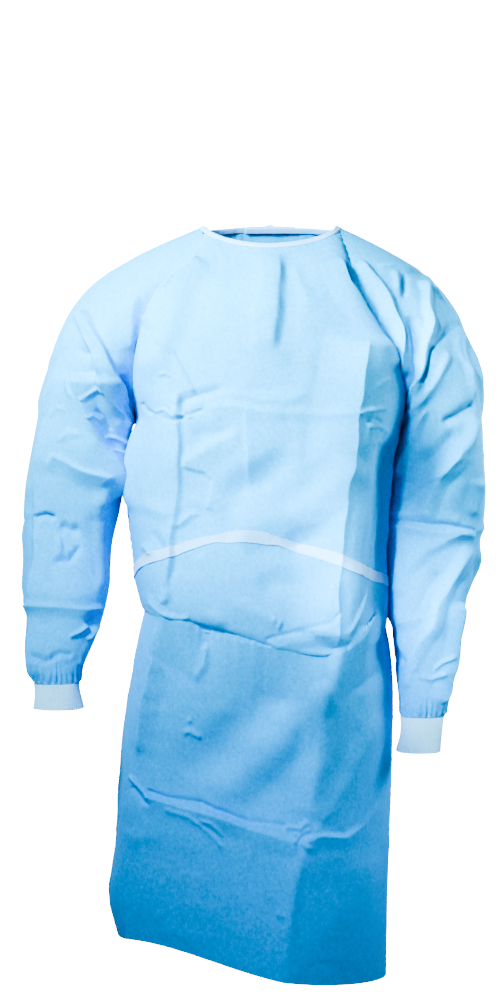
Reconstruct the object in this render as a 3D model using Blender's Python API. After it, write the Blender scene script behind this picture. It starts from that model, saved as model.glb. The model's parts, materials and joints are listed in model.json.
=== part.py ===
"""Isolation gown as it is worn: raglan sleeves, knitted cuffs, an overlapped open back and a tied belt.

Metres, +Z up. The front faces -Y and the wearer's left is +X. The origin is the middle of the neck
opening, level with the two points where the gown rests on the shoulders.
"""

import math
from collections import namedtuple

import bmesh
import bpy
import numpy as np
from mathutils import Matrix

# Cloth
WALL = 0.0015
BINDING_WALL = 0.002
CUFF_WALL = 0.002
SEAM_GAP = 0.0003
BINDING_HEIGHT = 0.009
BINDING_SMOOTHINGS = 3
SHARP_FROM = math.radians(50)

# How the front is divided across: seam to crease, crease to crease, crease to seam
SIDE_STEPS = 5
MIDDLE_STEPS = 10
SIDE_ROUNDNESS = 1.75
BACK_ROUNDNESS = 2.3

# Back: columns from seam to seam, and how many of them each panel spans. The right one lies over the
# left one: between their own middles each moves this far from the shared form, in or out.
BACK_STEPS = 18
PANEL_STEPS = 11
LAP_SPREAD = 0.0026
LAP_BEGINS = 5

# Sleeves: rings between the raglan seam and the upper arm, and points along the neck
NECK_ARC_STEPS = 4
SHOULDER_RINGS = 7
SLEEVE_ROUNDNESS = 2.15
RIGHT_SPREAD = 1.16
LEFT_SPREAD = 1.0

# Belt, its knot and free ends at the back, and the neck ties
BELT_THICK = 0.0012
BELT_KNOT = (0.030, 0.012)
NECK_KNOT = (0.018, 0.007)
KNOT_ROUNDING = 0.28

# A section of the gown across the front. steps: grid rows from the section below. The four lines that
# it crosses are the seam and the pressed crease on the wearer's right, then those on the left.
# bulge: how far the middle stands forward of the creases. arch: how far it stands above the straight
# way between them, as the belt lies in a bow. back: the middle of the back.
Section = namedtuple("Section", "steps bulge arch right_seam right_crease left_crease left_seam back")

SKIRT = [
    Section(0, 0.010, 0, (-0.234, 0.010, -1.087), (-0.213, -0.078, -1.075),
            (0.019, -0.180, -1.114), (0.179, 0.010, -1.151), (-0.022, 0.150, -1.112)),
    Section(2, 0.011, 0, (-0.250, 0.013, -1.026), (-0.221, -0.082, -1.012),
            (0.025, -0.183, -1.046), (0.180, 0.010, -1.070), (-0.021, 0.153, -1.050)),
    Section(2, 0.012, 0, (-0.238, 0.011, -0.955), (-0.210, -0.090, -0.942),
            (0.038, -0.187, -0.974), (0.182, 0.010, -0.990), (-0.019, 0.154, -0.980)),
    Section(2, 0.013, 0, (-0.235, 0.010, -0.887), (-0.206, -0.100, -0.872),
            (0.051, -0.193, -0.911), (0.185, 0.010, -0.920), (-0.016, 0.150, -0.905)),
    Section(1, 0.010, 0, (-0.233, 0.010, -0.857), (-0.204, -0.098, -0.848),
            (0.054, -0.184, -0.886), (0.186, 0.010, -0.897), (-0.015, 0.146, -0.880)),
    Section(3, 0.014, 0, (-0.226, 0.010, -0.765), (-0.192, -0.112, -0.762),
            (0.066, -0.180, -0.790), (0.189, 0.010, -0.795), (-0.012, 0.140, -0.780)),
    Section(2, 0.014, 0, (-0.213, 0.010, -0.690), (-0.182, -0.126, -0.688),
            (0.075, -0.178, -0.708), (0.190, 0.010, -0.700), (-0.010, 0.132, -0.700)),
    Section(2, 0.012, 0, (-0.199, 0.009, -0.612), (-0.167, -0.138, -0.612),
            (0.087, -0.178, -0.664), (0.183, 0.009, -0.630), (-0.008, 0.122, -0.635)),
    Section(1, 0.012, 0, (-0.191, 0.008, -0.583), (-0.160, -0.141, -0.584),
            (0.092, -0.174, -0.640), (0.176, 0.008, -0.600), (-0.007, 0.115, -0.608)),
]

BODICE = [
    Section(1, 0.016, 0, (-0.197, 0.006, -0.585), (-0.156, -0.158, -0.590),
            (0.097, -0.197, -0.646), (0.181, 0.006, -0.604), (-0.007, 0.129, -0.612)),
    Section(1, 0.014, 0.014, (-0.203, 0.004, -0.557), (-0.152, -0.163, -0.560),
            (0.103, -0.193, -0.602), (0.182, 0.004, -0.572), (-0.006, 0.129, -0.582)),
    Section(2, 0.013, 0.0276, (-0.208, 0.003, -0.541), (-0.150, -0.157, -0.505),
            (0.106, -0.180, -0.525), (0.182, 0.003, -0.556), (-0.005, 0.119, -0.553)),
    Section(1, 0.013, 0.0276, (-0.209, 0.002, -0.525), (-0.148, -0.155, -0.489),
            (0.107, -0.175, -0.509), (0.181, 0.002, -0.540), (-0.005, 0.116, -0.537)),
    Section(2, 0.012, 0.020, (-0.215, 0.000, -0.472), (-0.142, -0.152, -0.455),
            (0.112, -0.170, -0.468), (0.181, 0.000, -0.480), (-0.004, 0.113, -0.478)),
    Section(2, 0.015, 0.009, (-0.2225, 0.000, -0.405), (-0.137, -0.153, -0.392),
            (0.122, -0.166, -0.396), (0.184, 0.000, -0.410), (-0.002, 0.118, -0.400)),
    Section(2, 0.017, 0.003, (-0.2145, 0.000, -0.340), (-0.136, -0.156, -0.332),
            (0.132, -0.164, -0.334), (0.191, 0.000, -0.345), (0.000, 0.125, -0.332)),
    Section(1, 0.017, 0, (-0.203, 0.000, -0.304), (-0.136, -0.157, -0.296),
            (0.138, -0.162, -0.300), (0.201, 0.000, -0.305), (0.000, 0.128, -0.295)),
]

# Above the underarm the seams are raglan, one down the front and one down the back of each shoulder.
Yoke = namedtuple("Yoke", Section._fields + ("back_right_seam", "back_left_seam"))

YOKE = [
    Yoke(0, *BODICE[-1][1:], BODICE[-1].right_seam, BODICE[-1].left_seam),
    Yoke(2, 0.017, 0, (-0.206, -0.058, -0.268), (-0.136, -0.155, -0.258),
         (0.142, -0.156, -0.260), (0.205, -0.056, -0.266), (0.000, 0.129, -0.255),
         (-0.205, 0.058, -0.268), (0.204, 0.058, -0.266)),
    Yoke(2, 0.016, 0, (-0.204, -0.092, -0.212), (-0.134, -0.149, -0.205),
         (0.142, -0.148, -0.207), (0.189, -0.092, -0.213), (0.000, 0.128, -0.198),
         (-0.196, 0.090, -0.208), (0.190, 0.090, -0.208)),
    Yoke(2, 0.014, 0, (-0.190, -0.104, -0.153), (-0.126, -0.138, -0.148),
         (0.122, -0.138, -0.148), (0.156, -0.100, -0.153), (0.000, 0.122, -0.140),
         (-0.178, 0.098, -0.148), (0.166, 0.097, -0.148)),
    Yoke(1, 0.014, 0, (-0.173, -0.100, -0.105), (-0.112, -0.121, -0.108),
         (0.100, -0.122, -0.108), (0.131, -0.092, -0.106), (0.000, 0.112, -0.094),
         (-0.155, 0.093, -0.098), (0.142, 0.090, -0.098)),
    Yoke(1, 0.013, 0, (-0.139, -0.088, -0.072), (-0.094, -0.107, -0.083),
         (0.090, -0.108, -0.082), (0.120, -0.079, -0.070), (0.000, 0.100, -0.058),
         (-0.134, 0.082, -0.060), (0.125, 0.079, -0.060)),
    Yoke(1, 0.013, 0, (-0.115, -0.068, -0.042), (-0.080, -0.092, -0.060),
         (0.081, -0.092, -0.058), (0.113, -0.062, -0.038), (0.000, 0.085, -0.024),
         (-0.116, 0.065, -0.028), (0.114, 0.063, -0.028)),
    Yoke(1, 0.015, 0, (-0.101, -0.040, -0.010), (-0.067, -0.071, -0.031),
         (0.069, -0.071, -0.030), (0.103, -0.038, -0.008), (0.000, 0.066, 0.004),
         (-0.101, 0.037, -0.003), (0.103, 0.037, -0.003)),
]

# The neck edge over each shoulder, at its middle
RIGHT_NECK_SIDE = (-0.110, 0.000, 0.000)
LEFT_NECK_SIDE = (0.110, 0.000, 0.000)

# How the sleeve leaves the raglan seam and comes into the upper arm. around: share of the way round
# from the underarm, by the front. out, forward, up: the pull on leaving. drop: the pull on arriving.
Shoulder = namedtuple("Shoulder", "around out forward up drop")

SHOULDER = [
    Shoulder(0.000, 0.022, 0.000, 0.004, 0.012),
    Shoulder(0.083, 0.022, 0.016, 0.004, 0.040),
    Shoulder(0.167, 0.026, 0.022, 0.000, 0.060),
    Shoulder(0.250, 0.044, 0.028, -0.008, 0.090),
    Shoulder(0.333, 0.086, 0.022, -0.020, 0.130),
    Shoulder(0.417, 0.158, 0.006, -0.058, 0.185),
    Shoulder(0.500, 0.197, 0.000, -0.086, 0.220),
    Shoulder(0.583, 0.158, -0.006, -0.058, 0.185),
    Shoulder(0.667, 0.086, -0.020, -0.020, 0.130),
    Shoulder(0.750, 0.044, -0.024, -0.008, 0.090),
    Shoulder(0.833, 0.026, -0.018, 0.000, 0.060),
    Shoulder(0.917, 0.022, -0.014, 0.004, 0.040),
    Shoulder(1.000, 0.022, 0.000, 0.004, 0.012),
]

# A level ring round an arm. steps: grid rows from the ring above.
Ring = namedtuple("Ring", "steps z outer inner front back")

RIGHT_SLEEVE = [
    Ring(0, -0.345, -0.3670, -0.2215, -0.076, 0.076),
    Ring(3, -0.430, -0.3805, -0.2300, -0.072, 0.078),
    Ring(2, -0.480, -0.3760, -0.2425, -0.074, 0.068),
    Ring(3, -0.560, -0.3710, -0.2455, -0.098, 0.022),
    Ring(3, -0.628, -0.3620, -0.2635, -0.116, -0.020),
    Ring(1, -0.656, -0.3670, -0.2760, -0.128, -0.044),
    Ring(1, -0.676, -0.3590, -0.2825, -0.134, -0.060),
    Ring(1, -0.689, -0.3495, -0.2840, -0.136, -0.070),
]
RIGHT_CUFF = [
    RIGHT_SLEEVE[-1],
    Ring(1, -0.697, -0.3475, -0.2830, -0.140, -0.076),
    Ring(2, -0.724, -0.3500, -0.2765, -0.158, -0.086),
]
LEFT_SLEEVE = [
    Ring(0, -0.345, 0.3285, 0.1960, -0.072, 0.076),
    Ring(3, -0.430, 0.3315, 0.1885, -0.066, 0.080),
    Ring(2, -0.475, 0.3250, 0.1855, -0.064, 0.074),
    Ring(3, -0.570, 0.3010, 0.1860, -0.066, 0.054),
    Ring(3, -0.640, 0.2885, 0.1890, -0.066, 0.034),
    Ring(2, -0.700, 0.2785, 0.1950, -0.064, 0.020),
    Ring(1, -0.730, 0.2690, 0.1965, -0.062, 0.010),
    Ring(1, -0.747, 0.2645, 0.1990, -0.058, 0.004),
]
LEFT_CUFF = [
    LEFT_SLEEVE[-1],
    Ring(1, -0.757, 0.2620, 0.2005, -0.060, 0.000),
    Ring(2, -0.799, 0.2580, 0.1920, -0.072, -0.004),
]

# The largest folds that stand out of the cloth's own form, or sink into it: where each one runs seen
# from the front, how wide it is to either side, and how far it moves the cloth out of its form
Fold = namedtuple("Fold", "grid start end reach height")
FOLDS_FACE_FRONT = 1.5  # how soon a fold reaches its full height where the cloth turns to the front

FOLDS = [
    Fold("sleeve_right", (-0.290, -0.110), (-0.235, -0.230), 0.030, 0.008),
    Fold("sleeve_right", (-0.272, -0.195), (-0.222, -0.330), 0.028, 0.008),
    Fold("sleeve_right", (-0.300, -0.250), (-0.240, -0.345), 0.028, -0.009),
    Fold("sleeve_right", (-0.345, -0.345), (-0.265, -0.385), 0.026, 0.006),
    Fold("sleeve_right", (-0.350, -0.440), (-0.300, -0.480), 0.034, -0.009),
    Fold("sleeve_right", (-0.365, -0.560), (-0.250, -0.560), 0.022, 0.005),
    Fold("sleeve_left", (0.225, -0.085), (0.240, -0.190), 0.028, 0.009),
    Fold("sleeve_left", (0.240, -0.190), (0.205, -0.300), 0.026, 0.009),
    Fold("sleeve_left", (0.285, -0.130), (0.215, -0.300), 0.030, -0.008),
    Fold("sleeve_left", (0.310, -0.365), (0.235, -0.455), 0.028, 0.008),
    Fold("sleeve_left", (0.205, -0.340), (0.200, -0.430), 0.024, -0.007),
    Fold("sleeve_left", (0.250, -0.600), (0.205, -0.700), 0.026, 0.007),
    Fold("front", (0.000, -0.040), (-0.005, -0.200), 0.035, 0.006),
    Fold("front", (0.030, -0.060), (0.022, -0.230), 0.035, -0.005),
    Fold("front", (-0.140, -0.350), (-0.075, -0.395), 0.040, 0.008),
    Fold("front", (0.130, -0.320), (-0.040, -0.430), 0.040, 0.007),
    Fold("front", (-0.100, -0.380), (0.020, -0.410), 0.035, -0.008),
    Fold("front", (0.010, -0.880), (0.170, -0.700), 0.045, 0.007),
    Fold("front", (-0.060, -0.850), (0.080, -0.680), 0.045, 0.006),
    Fold("front", (-0.100, -0.760), (0.030, -0.880), 0.045, -0.007),
    Fold("front", (-0.080, -0.640), (-0.090, -0.740), 0.040, 0.006),
]

# Where along the front's columns each stretch of belt has its points, how wide it is there, and how
# far it lies off the panel
BeltPoint = namedtuple("BeltPoint", "column width lift")

BELT_MIDDLE = [BeltPoint(column, 1, SEAM_GAP) for column in (8.25, 9, 10, 10.6)]
BELT_RIGHT = [
    BeltPoint(8.25, 1, SEAM_GAP),
    BeltPoint(7.8, 0.55, 0.0022),
    BeltPoint(7, 0.8, 0.0012),
    BeltPoint(6, 0.95, 0.0012),
]
BELT_LEFT = [
    BeltPoint(10.6, 1, SEAM_GAP),
    BeltPoint(11.1, 0.55, 0.0022),
    BeltPoint(12, 0.8, 0.0012),
    BeltPoint(13, 0.95, 0.0012),
]
BELT_SECTION = 2  # the bodice section along the belt's lower edge

# The belt's free ends hang over the bodice's tuck, touch down at one section of the skirt and end at
# another. What is tied at the back lies this far off the panels.
BELOW_TUCK = 6
TAILS_END = 5
BACK_LIFT = 0.0016

# A free end at the back. start, end: how far right of the middle it hangs, in columns of the back.
Tail = namedtuple("Tail", "start end width")

BELT_TAILS = {"belt_tail_right": Tail(0.22, 1.10, 0.016), "belt_tail_left": Tail(-0.22, -0.75, 0.016)}
NECK_TAILS = {"neck_tail_right": Tail(0.20, 0.55, 0.008), "neck_tail_left": Tail(-0.20, -0.62, 0.008)}

NONWOVEN = (0.20, 0.58, 0.90, 1.0)
PALE_TAPE = (0.55, 0.80, 0.96, 1.0)
KNIT_WHITE = (0.83, 0.92, 0.98, 1.0)


def smooth_line(points, steps):
    """A smooth line through the points, with this many steps up to each point from the one before."""
    points = np.array(points, float)
    stations = np.concatenate([[0], np.cumsum(np.linalg.norm(np.diff(points, axis=0), axis=1))])
    where = [stations[0]]
    for i in range(1, len(points)):
        span = stations[i] - stations[i - 1]
        where.extend(stations[i - 1] + span * (np.arange(steps[i]) + 1) / steps[i])
    return smooth_at(stations, points, where)


def smooth_at(stations, values, where):
    """Values that change smoothly along a way, read at these places on it."""
    spans = np.diff(stations)[:, None]
    slopes = np.diff(values, axis=0) / spans
    inner = (slopes[:-1] * spans[1:] + slopes[1:] * spans[:-1]) / (spans[:-1] + spans[1:])
    tangents = np.concatenate([slopes[:1], inner, slopes[-1:]])
    found = []
    for place in where:
        i = min(max(int(np.searchsorted(stations, place, side="right")) - 1, 0), len(spans) - 1)
        share = (place - stations[i]) / spans[i][0]
        leave, arrive = tangents[i] * spans[i], tangents[i + 1] * spans[i]
        found.append(hermite(values[i], values[i + 1], leave, arrive, share))
    return np.array(found)


def hermite(start, end, leave, arrive, t):
    return (
        start * (2 * t**3 - 3 * t**2 + 1)
        + leave * (t**3 - 2 * t**2 + t)
        + end * (3 * t**2 - 2 * t**3)
        + arrive * (t**3 - t**2)
    )


def lines_of(sections, *fields):
    """Each named line of the sections as a smooth line, one point for each grid row."""
    steps = [s.steps for s in sections]
    return [smooth_line([getattr(section, field) for section in sections], steps) for field in fields]


def numbers_of(sections, field):
    """A number of the sections at each grid row, straight between sections."""
    rows = np.cumsum([0] + [section.steps for section in sections[1:]])
    return np.interp(np.arange(rows[-1] + 1), rows, [getattr(section, field) for section in sections])


def quarter(seam, crease, share, roundness):
    """A point of the rounded side between a seam (share 0) and a crease (share 1), seen from above."""
    angle = share * math.pi / 2
    across, deep = math.cos(angle) ** (2 / roundness), math.sin(angle) ** (2 / roundness)
    return crease[0] + (seam[0] - crease[0]) * across, seam[1] + (crease[1] - seam[1]) * deep


def front_row(right_seam, right_crease, left_crease, left_seam, bulge, arch):
    """One grid row of the front panel, from the wearer's right seam to the left one."""
    shares = [k / SIDE_STEPS for k in range(SIDE_STEPS)]
    plan = [quarter(right_seam, right_crease, share, SIDE_ROUNDNESS) for share in shares]
    for k in range(MIDDLE_STEPS + 1):
        share = k / MIDDLE_STEPS
        x, y = right_crease[:2] + (left_crease[:2] - right_crease[:2]) * share
        plan.append((x, y - bulge * 4 * share * (1 - share)))
    plan += [quarter(left_seam, left_crease, share, SIDE_ROUNDNESS) for share in reversed(shares)]
    plan = np.array(plan)
    way = np.concatenate([[0], np.cumsum(np.linalg.norm(np.diff(plan, axis=0), axis=1))])
    stations = way[[0, SIDE_STEPS, SIDE_STEPS + MIDDLE_STEPS, -1]]
    heights = np.array([[point[2]] for point in (right_seam, right_crease, left_crease, left_seam)])
    points = np.concatenate([plan, smooth_at(stations, heights, way)], axis=1)
    share = np.linspace(0, 1, MIDDLE_STEPS + 1)
    points[SIDE_STEPS : SIDE_STEPS + MIDDLE_STEPS + 1, 2] += arch * 4 * share * (1 - share)
    return points


def back_point(right_seam, middle, left_seam, share):
    """A point across the back, from the wearer's right seam (share 0) to the left one (share 1)."""
    seam, part = (right_seam, 2 * share) if share <= 0.5 else (left_seam, 2 - 2 * share)
    x, y = quarter(seam, middle, part, BACK_ROUNDNESS)
    z = seam[2] + (middle[2] - seam[2]) * math.sin(part * math.pi / 2) ** 2
    return np.array([x, y, z])


def trunk_lines(*fields):
    """Each named line from the hem to the neck: the skirt, the tuck's edge, the bodice, then the yoke."""
    found = []
    for field in fields:
        skirt, bodice, yoke = (lines_of(part, field)[0] for part in (SKIRT, BODICE, YOKE))
        found.append(np.concatenate([skirt, bodice, yoke[1:]]))
    return found


def back_seam_line(yoke_field, trunk_field):
    """The back panel's seam: the side seam up to the underarm, then the back raglan seam."""
    side = trunk_lines(trunk_field)[0][: bodice_row(len(BODICE)) + 1]
    return np.concatenate([side, lines_of(YOKE, yoke_field)[0][1:]])


def front_grid():
    lines = trunk_lines("right_seam", "right_crease", "left_crease", "left_seam")
    for field in ("bulge", "arch"):
        skirt, bodice, yoke = (numbers_of(part, field) for part in (SKIRT, BODICE, YOKE))
        lines.append(np.concatenate([skirt, bodice, yoke[1:]]))
    return np.array([front_row(*points) for points in zip(*lines)])


def back_grid():
    """The whole back from the wearer's right seam to the left one, before it is parted in two."""
    lines = [
        back_seam_line("back_right_seam", "right_seam"),
        trunk_lines("back")[0],
        back_seam_line("back_left_seam", "left_seam"),
    ]
    shares = [k / BACK_STEPS for k in range(BACK_STEPS + 1)]
    return np.array([[back_point(*points, share) for share in shares] for points in zip(*lines)])


def lap(column):
    """How far a back panel has eased away from the shared form, counted from its own seam: 0 to 1."""
    share = min(1.0, max(0.0, (column - LAP_BEGINS) / (BACK_STEPS / 2 - LAP_BEGINS)))
    return share * share * (3 - 2 * share)


def back_panels(back, normals):
    """The right and left panels, each from its own seam past the middle, the right one outside."""
    spread = np.array([lap(k) for k in range(PANEL_STEPS + 1)])[None, :, None] * LAP_SPREAD
    right = (slice(None), slice(0, PANEL_STEPS + 1))
    left = (slice(None), slice(None, BACK_STEPS - PANEL_STEPS - 1, -1))
    return back[right] + normals[right] * spread, back[left] - normals[left] * spread


def ring_points(ring, count, roundness):
    """Points round an arm, from the inner side by the front, the outer side and the back."""
    centre = np.array([(ring.outer + ring.inner) / 2, (ring.front + ring.back) / 2, ring.z])
    points = []
    for k in range(count):
        angle = 2 * math.pi * k / count
        inward, forward = math.cos(angle), math.sin(angle)
        across = math.copysign(abs(inward) ** (2 / roundness), inward) * (ring.inner - ring.outer) / 2
        deep = math.copysign(abs(forward) ** (2 / roundness), forward) * (ring.front - ring.back) / 2
        points.append(centre + (across, deep, 0))
    return np.array(points)


def arm_grid(rings, count, roundness):
    """Rings down an arm, smooth between the stated ones."""
    lines = smooth_line([[r.z, r.outer, r.inner, r.front, r.back] for r in rings], [r.steps for r in rings])
    return np.array([ring_points(Ring(0, *line), count, roundness) for line in lines])


def folded(name, grid, normals):
    """The grid with its own folds in it; they leave the sewn edges and the hidden side as they are."""
    moved = grid.copy()
    facing = np.clip(-normals[:, :, 1] * FOLDS_FACE_FRONT, 0, 1)
    facing[[0, -1]] = 0
    if not np.allclose(grid[:, 0], grid[:, -1]):
        facing[:, [0, -1]] = 0
    seen = grid[:, :, [0, 2]]
    for fold in (f for f in FOLDS if f.grid == name):
        start, along = np.array(fold.start), np.array(fold.end) - fold.start
        share = np.clip((seen - start) @ along / (along @ along), 0, 1)
        away = np.linalg.norm(seen - start - share[:, :, None] * along, axis=2) / fold.reach
        rise = fold.height * np.clip(1 - away**2, 0, 1) ** 2 * facing
        moved += normals * rise[:, :, None]
    return moved


def raglan_loop(front_edge, back_edge, neck_side):
    """The sleeve's seam: up the front from the underarm, over the neck edge and down the back."""
    half = NECK_ARC_STEPS // 2
    neck = smooth_line([front_edge[-1], neck_side, back_edge[-1]], [0, half, half])
    return np.concatenate([front_edge, neck[1:-1], back_edge[:0:-1]])


def sleeve_grid(loop, rings, spread):
    """A raglan sleeve: it swells out of its seam over the shoulder, then follows the arm's rings."""
    count = len(loop)
    side = math.copysign(1, loop[0][0])
    arm = arm_grid(rings, count, SLEEVE_ROUNDNESS)
    around = [s.around for s in SHOULDER]
    shoulder = []
    for share in (k / SHOULDER_RINGS for k in range(SHOULDER_RINGS)):
        ring = []
        for k in range(count):
            out, forward, up, drop = (
                np.interp(k / count, around, [getattr(s, field) for s in SHOULDER])
                for field in ("out", "forward", "up", "drop")
            )
            down = arm[1][k] - arm[0][k]
            leave = 3 * np.array([side * out * spread, -forward, up])
            arrive = 3 * drop * unit(down)
            ring.append(hermite(loop[k], arm[0][k], leave, arrive, share))
        shoulder.append(ring)
    grid = np.concatenate([np.array(shoulder), arm])
    return np.concatenate([grid, grid[:, :1]], axis=1)


def closed_arm_grid(rings, count, roundness):
    grid = arm_grid(rings, count, roundness)
    return np.concatenate([grid, grid[:, :1]], axis=1)


def binding_grid(panels):
    """A strip that carries on the cloth past the neck edge, from one back edge round to the other."""
    arc = slice(sum(s.steps for s in YOKE), sum(s.steps for s in YOKE) + NECK_ARC_STEPS + 1)
    stretches = [
        (panels["back_right"][-1][::-1], panels["back_right"][-2][::-1]),
        (panels["sleeve_right"][0][arc][::-1], panels["sleeve_right"][1][arc][::-1]),
        (panels["front"][-1], panels["front"][-2]),
        (panels["sleeve_left"][0][arc], panels["sleeve_left"][1][arc]),
        (panels["back_left"][-1], panels["back_left"][-2]),
    ]
    edge = np.concatenate([line if i == 0 else line[1:] for i, (line, _) in enumerate(stretches)])
    below = np.concatenate([line if i == 0 else line[1:] for i, (_, line) in enumerate(stretches)])
    upward = unit(edge - below)
    for _ in range(BINDING_SMOOTHINGS):
        upward[1:-1] = unit(upward[:-2] + 2 * upward[1:-1] + upward[2:])
    return np.array([edge, edge + BINDING_HEIGHT * upward])


def unit(vectors):
    return vectors / np.linalg.norm(vectors, axis=-1, keepdims=True)


def between(line, column):
    """The point, or direction, of a grid row at a column that may lie between two of its own."""
    first = min(int(column), len(line) - 2)
    return line[first] + (line[first + 1] - line[first]) * (column - first)


def outer_back(back, normals, row, column):
    """A point on the outside of the closed back, clear of both panels, and the way out from it."""
    out = unit(between(normals[row], column))
    lift = LAP_SPREAD * lap(min(column, BACK_STEPS - column)) + WALL / 2 + BACK_LIFT + BELT_THICK / 2
    return between(back[row], column) + out * lift, out


def belt_row():
    return bodice_row(BELT_SECTION)


def skirt_row(section):
    """The grid row of a section of the skirt, counted from its hem."""
    return sum(s.steps for s in SKIRT[: section + 1])


def bodice_row(section):
    """The grid row of a section of the bodice."""
    return skirt_row(len(SKIRT)) + 1 + sum(s.steps for s in BODICE[1 : section + 1])


def belt_on_front(front, normals, stations):
    """The belt's lower and upper edge over the front panel, and the way out from each point."""
    row, edges, outs = belt_row(), [], []
    for station in stations:
        low, high = between(front[row], station.column), between(front[row + 1], station.column)
        out = unit(between(normals[row], station.column) + between(normals[row + 1], station.column))
        middle = (low + high) / 2 + out * (WALL / 2 + station.lift + BELT_THICK / 2)
        half = (high - low) / 2 * station.width
        edges.append((middle - half, middle + half))
        outs.append((out, out))
    return edges, outs


def belt_stretch(trunk, normals, stations, is_right):
    """The belt from its weld on the front, round one side and on to the knot at the back."""
    edges, outs = belt_on_front(trunk["front"], normals["front"], stations)
    last = int(stations[-1].column)
    sides = range(last - 1, -1, -1) if is_right else range(last + 1, trunk["front"].shape[1])
    side_edges, side_outs = belt_on_front(
        trunk["front"], normals["front"], [BeltPoint(column, 1, stations[-1].lift) for column in sides]
    )
    middle = BACK_STEPS // 2
    row = trunk["back"][belt_row()]
    column_width = np.linalg.norm(row[middle] - row[middle - 1 if is_right else middle + 1])
    back_edges, back_outs = [], []
    for column in [*range(1, middle), middle - BELT_KNOT[0] / 2 / column_width]:
        column = column if is_right else BACK_STEPS - column
        found = [outer_back(trunk["back"], normals["back"], belt_row() + k, column) for k in (0, 1)]
        back_edges.append(tuple(point for point, _ in found))
        back_outs.append(tuple(out for _, out in found))
    grid = np.array(edges + side_edges + back_edges).swapaxes(0, 1)
    return grid, np.array(outs + side_outs + back_outs).swapaxes(0, 1)


def tail_grid(back, normals, rows, tail):
    """A free end laid down the back, over the stated grid rows."""
    edges, outs = [], []
    for share, row in zip(np.linspace(0, 1, len(rows)), rows):
        column = BACK_STEPS / 2 - (tail.start + (tail.end - tail.start) * share)
        point, out = outer_back(back, normals, row, column)
        if not edges:
            below, _ = outer_back(back, normals, rows[1], column)
            point = point + unit(below - point) * 2 * SEAM_GAP
        across = unit(between(back[row], column + 0.2) - between(back[row], column - 0.2)) * tail.width / 2
        edges.append((point - across, point + across))
        outs.append((out, out))
    return np.array(edges).swapaxes(0, 1), np.array(outs).swapaxes(0, 1)


def knot(name, low, high, out, size, sink, material, collection):
    """A flat knot on the back, a seam gap inside the levels low and high; sink: how far in it is set."""
    width, depth = size
    up = unit(high - low)
    height = np.linalg.norm(high - low) - 2 * SEAM_GAP
    centre = (low + high) / 2 + out * (depth / 2 - BELT_THICK / 2 - sink)
    bm = bmesh.new()
    bmesh.ops.create_cube(bm, size=1.0)
    rounded = [edge for edge in bm.edges if max(vert.co.y for vert in edge.verts) > 0]
    turn = Matrix((np.cross(up, out) * width, out * depth, up * height)).transposed()
    bmesh.ops.transform(bm, matrix=Matrix.Translation(centre) @ turn.to_4x4(), verts=bm.verts[:])
    bmesh.ops.bevel(bm, geom=rounded, offset=min(depth, height) * KNOT_ROUNDING, segments=2, affect="EDGES")
    bmesh.ops.triangulate(bm, faces=bm.faces[:])
    return finished(name, bm, material, collection)


def shared_normals(panels):
    """Outward normals of every grid point, the same on both sides of each seam."""
    offsets, points, faces = {}, [], []
    for name, grid in panels.items():
        rows, columns = grid.shape[:2]
        offsets[name] = len(points)
        points.extend(grid.reshape(-1, 3))
        corner = np.arange(rows * columns).reshape(rows, columns) + offsets[name]
        quads = np.stack([corner[:-1, :-1], corner[:-1, 1:], corner[1:, 1:], corner[1:, :-1]], axis=-1)
        faces.extend(quads.reshape(-1, 4) if faces_out(name) else quads.reshape(-1, 4)[:, ::-1])
    points = np.array(points)
    _, same = np.unique(np.round(points / 1e-6).astype(np.int64), axis=0, return_inverse=True)
    same = same.reshape(-1)
    sums = np.zeros((same.max() + 1, 3))
    for face in faces:
        a, b, c, d = points[face]
        area = unit(np.cross(c - a, d - b))
        for corner in face:
            sums[same[corner]] += area
    normals = unit(sums)[same]
    found = {}
    for name, grid in panels.items():
        end = offsets[name] + grid.shape[0] * grid.shape[1]
        found[name] = normals[offsets[name] : end].reshape(grid.shape)
    return found


def faces_out(name):
    """Whether a grid's columns run to its left seen from outside with its rows running up."""
    return name in ("front", "back_left", "sleeve_right", "cuff_right", "binding")


def drawn_back(grid, normals, row_edges, column_edges):
    """The grid with its sewn edges moved half a seam gap into the panel."""
    moved = grid.copy()
    for edge, neighbour in row_edges:
        moved[edge] += inward(grid[edge], grid[neighbour], normals[edge])
    for edge, neighbour in column_edges:
        moved[:, edge] += inward(grid[:, edge], grid[:, neighbour], normals[:, edge])
    return moved


def inward(edge, neighbour, normals):
    along = np.gradient(edge, axis=0)
    if np.allclose(edge[0], edge[-1]):
        along[0] = along[-1] = edge[1] - edge[-2]
    step = neighbour - edge
    for direction in (unit(along), normals):
        step -= np.sum(step * direction, axis=1)[:, None] * direction
    return SEAM_GAP / 2 * unit(step)


def fabric(name, colour, roughness):
    material = bpy.data.materials.new(name)
    material.use_nodes = True
    shader = material.node_tree.nodes["Principled BSDF"]
    shader.inputs["Base Color"].default_value = colour
    shader.inputs["Roughness"].default_value = roughness
    shader.inputs["Metallic"].default_value = 0.0
    return material


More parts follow.
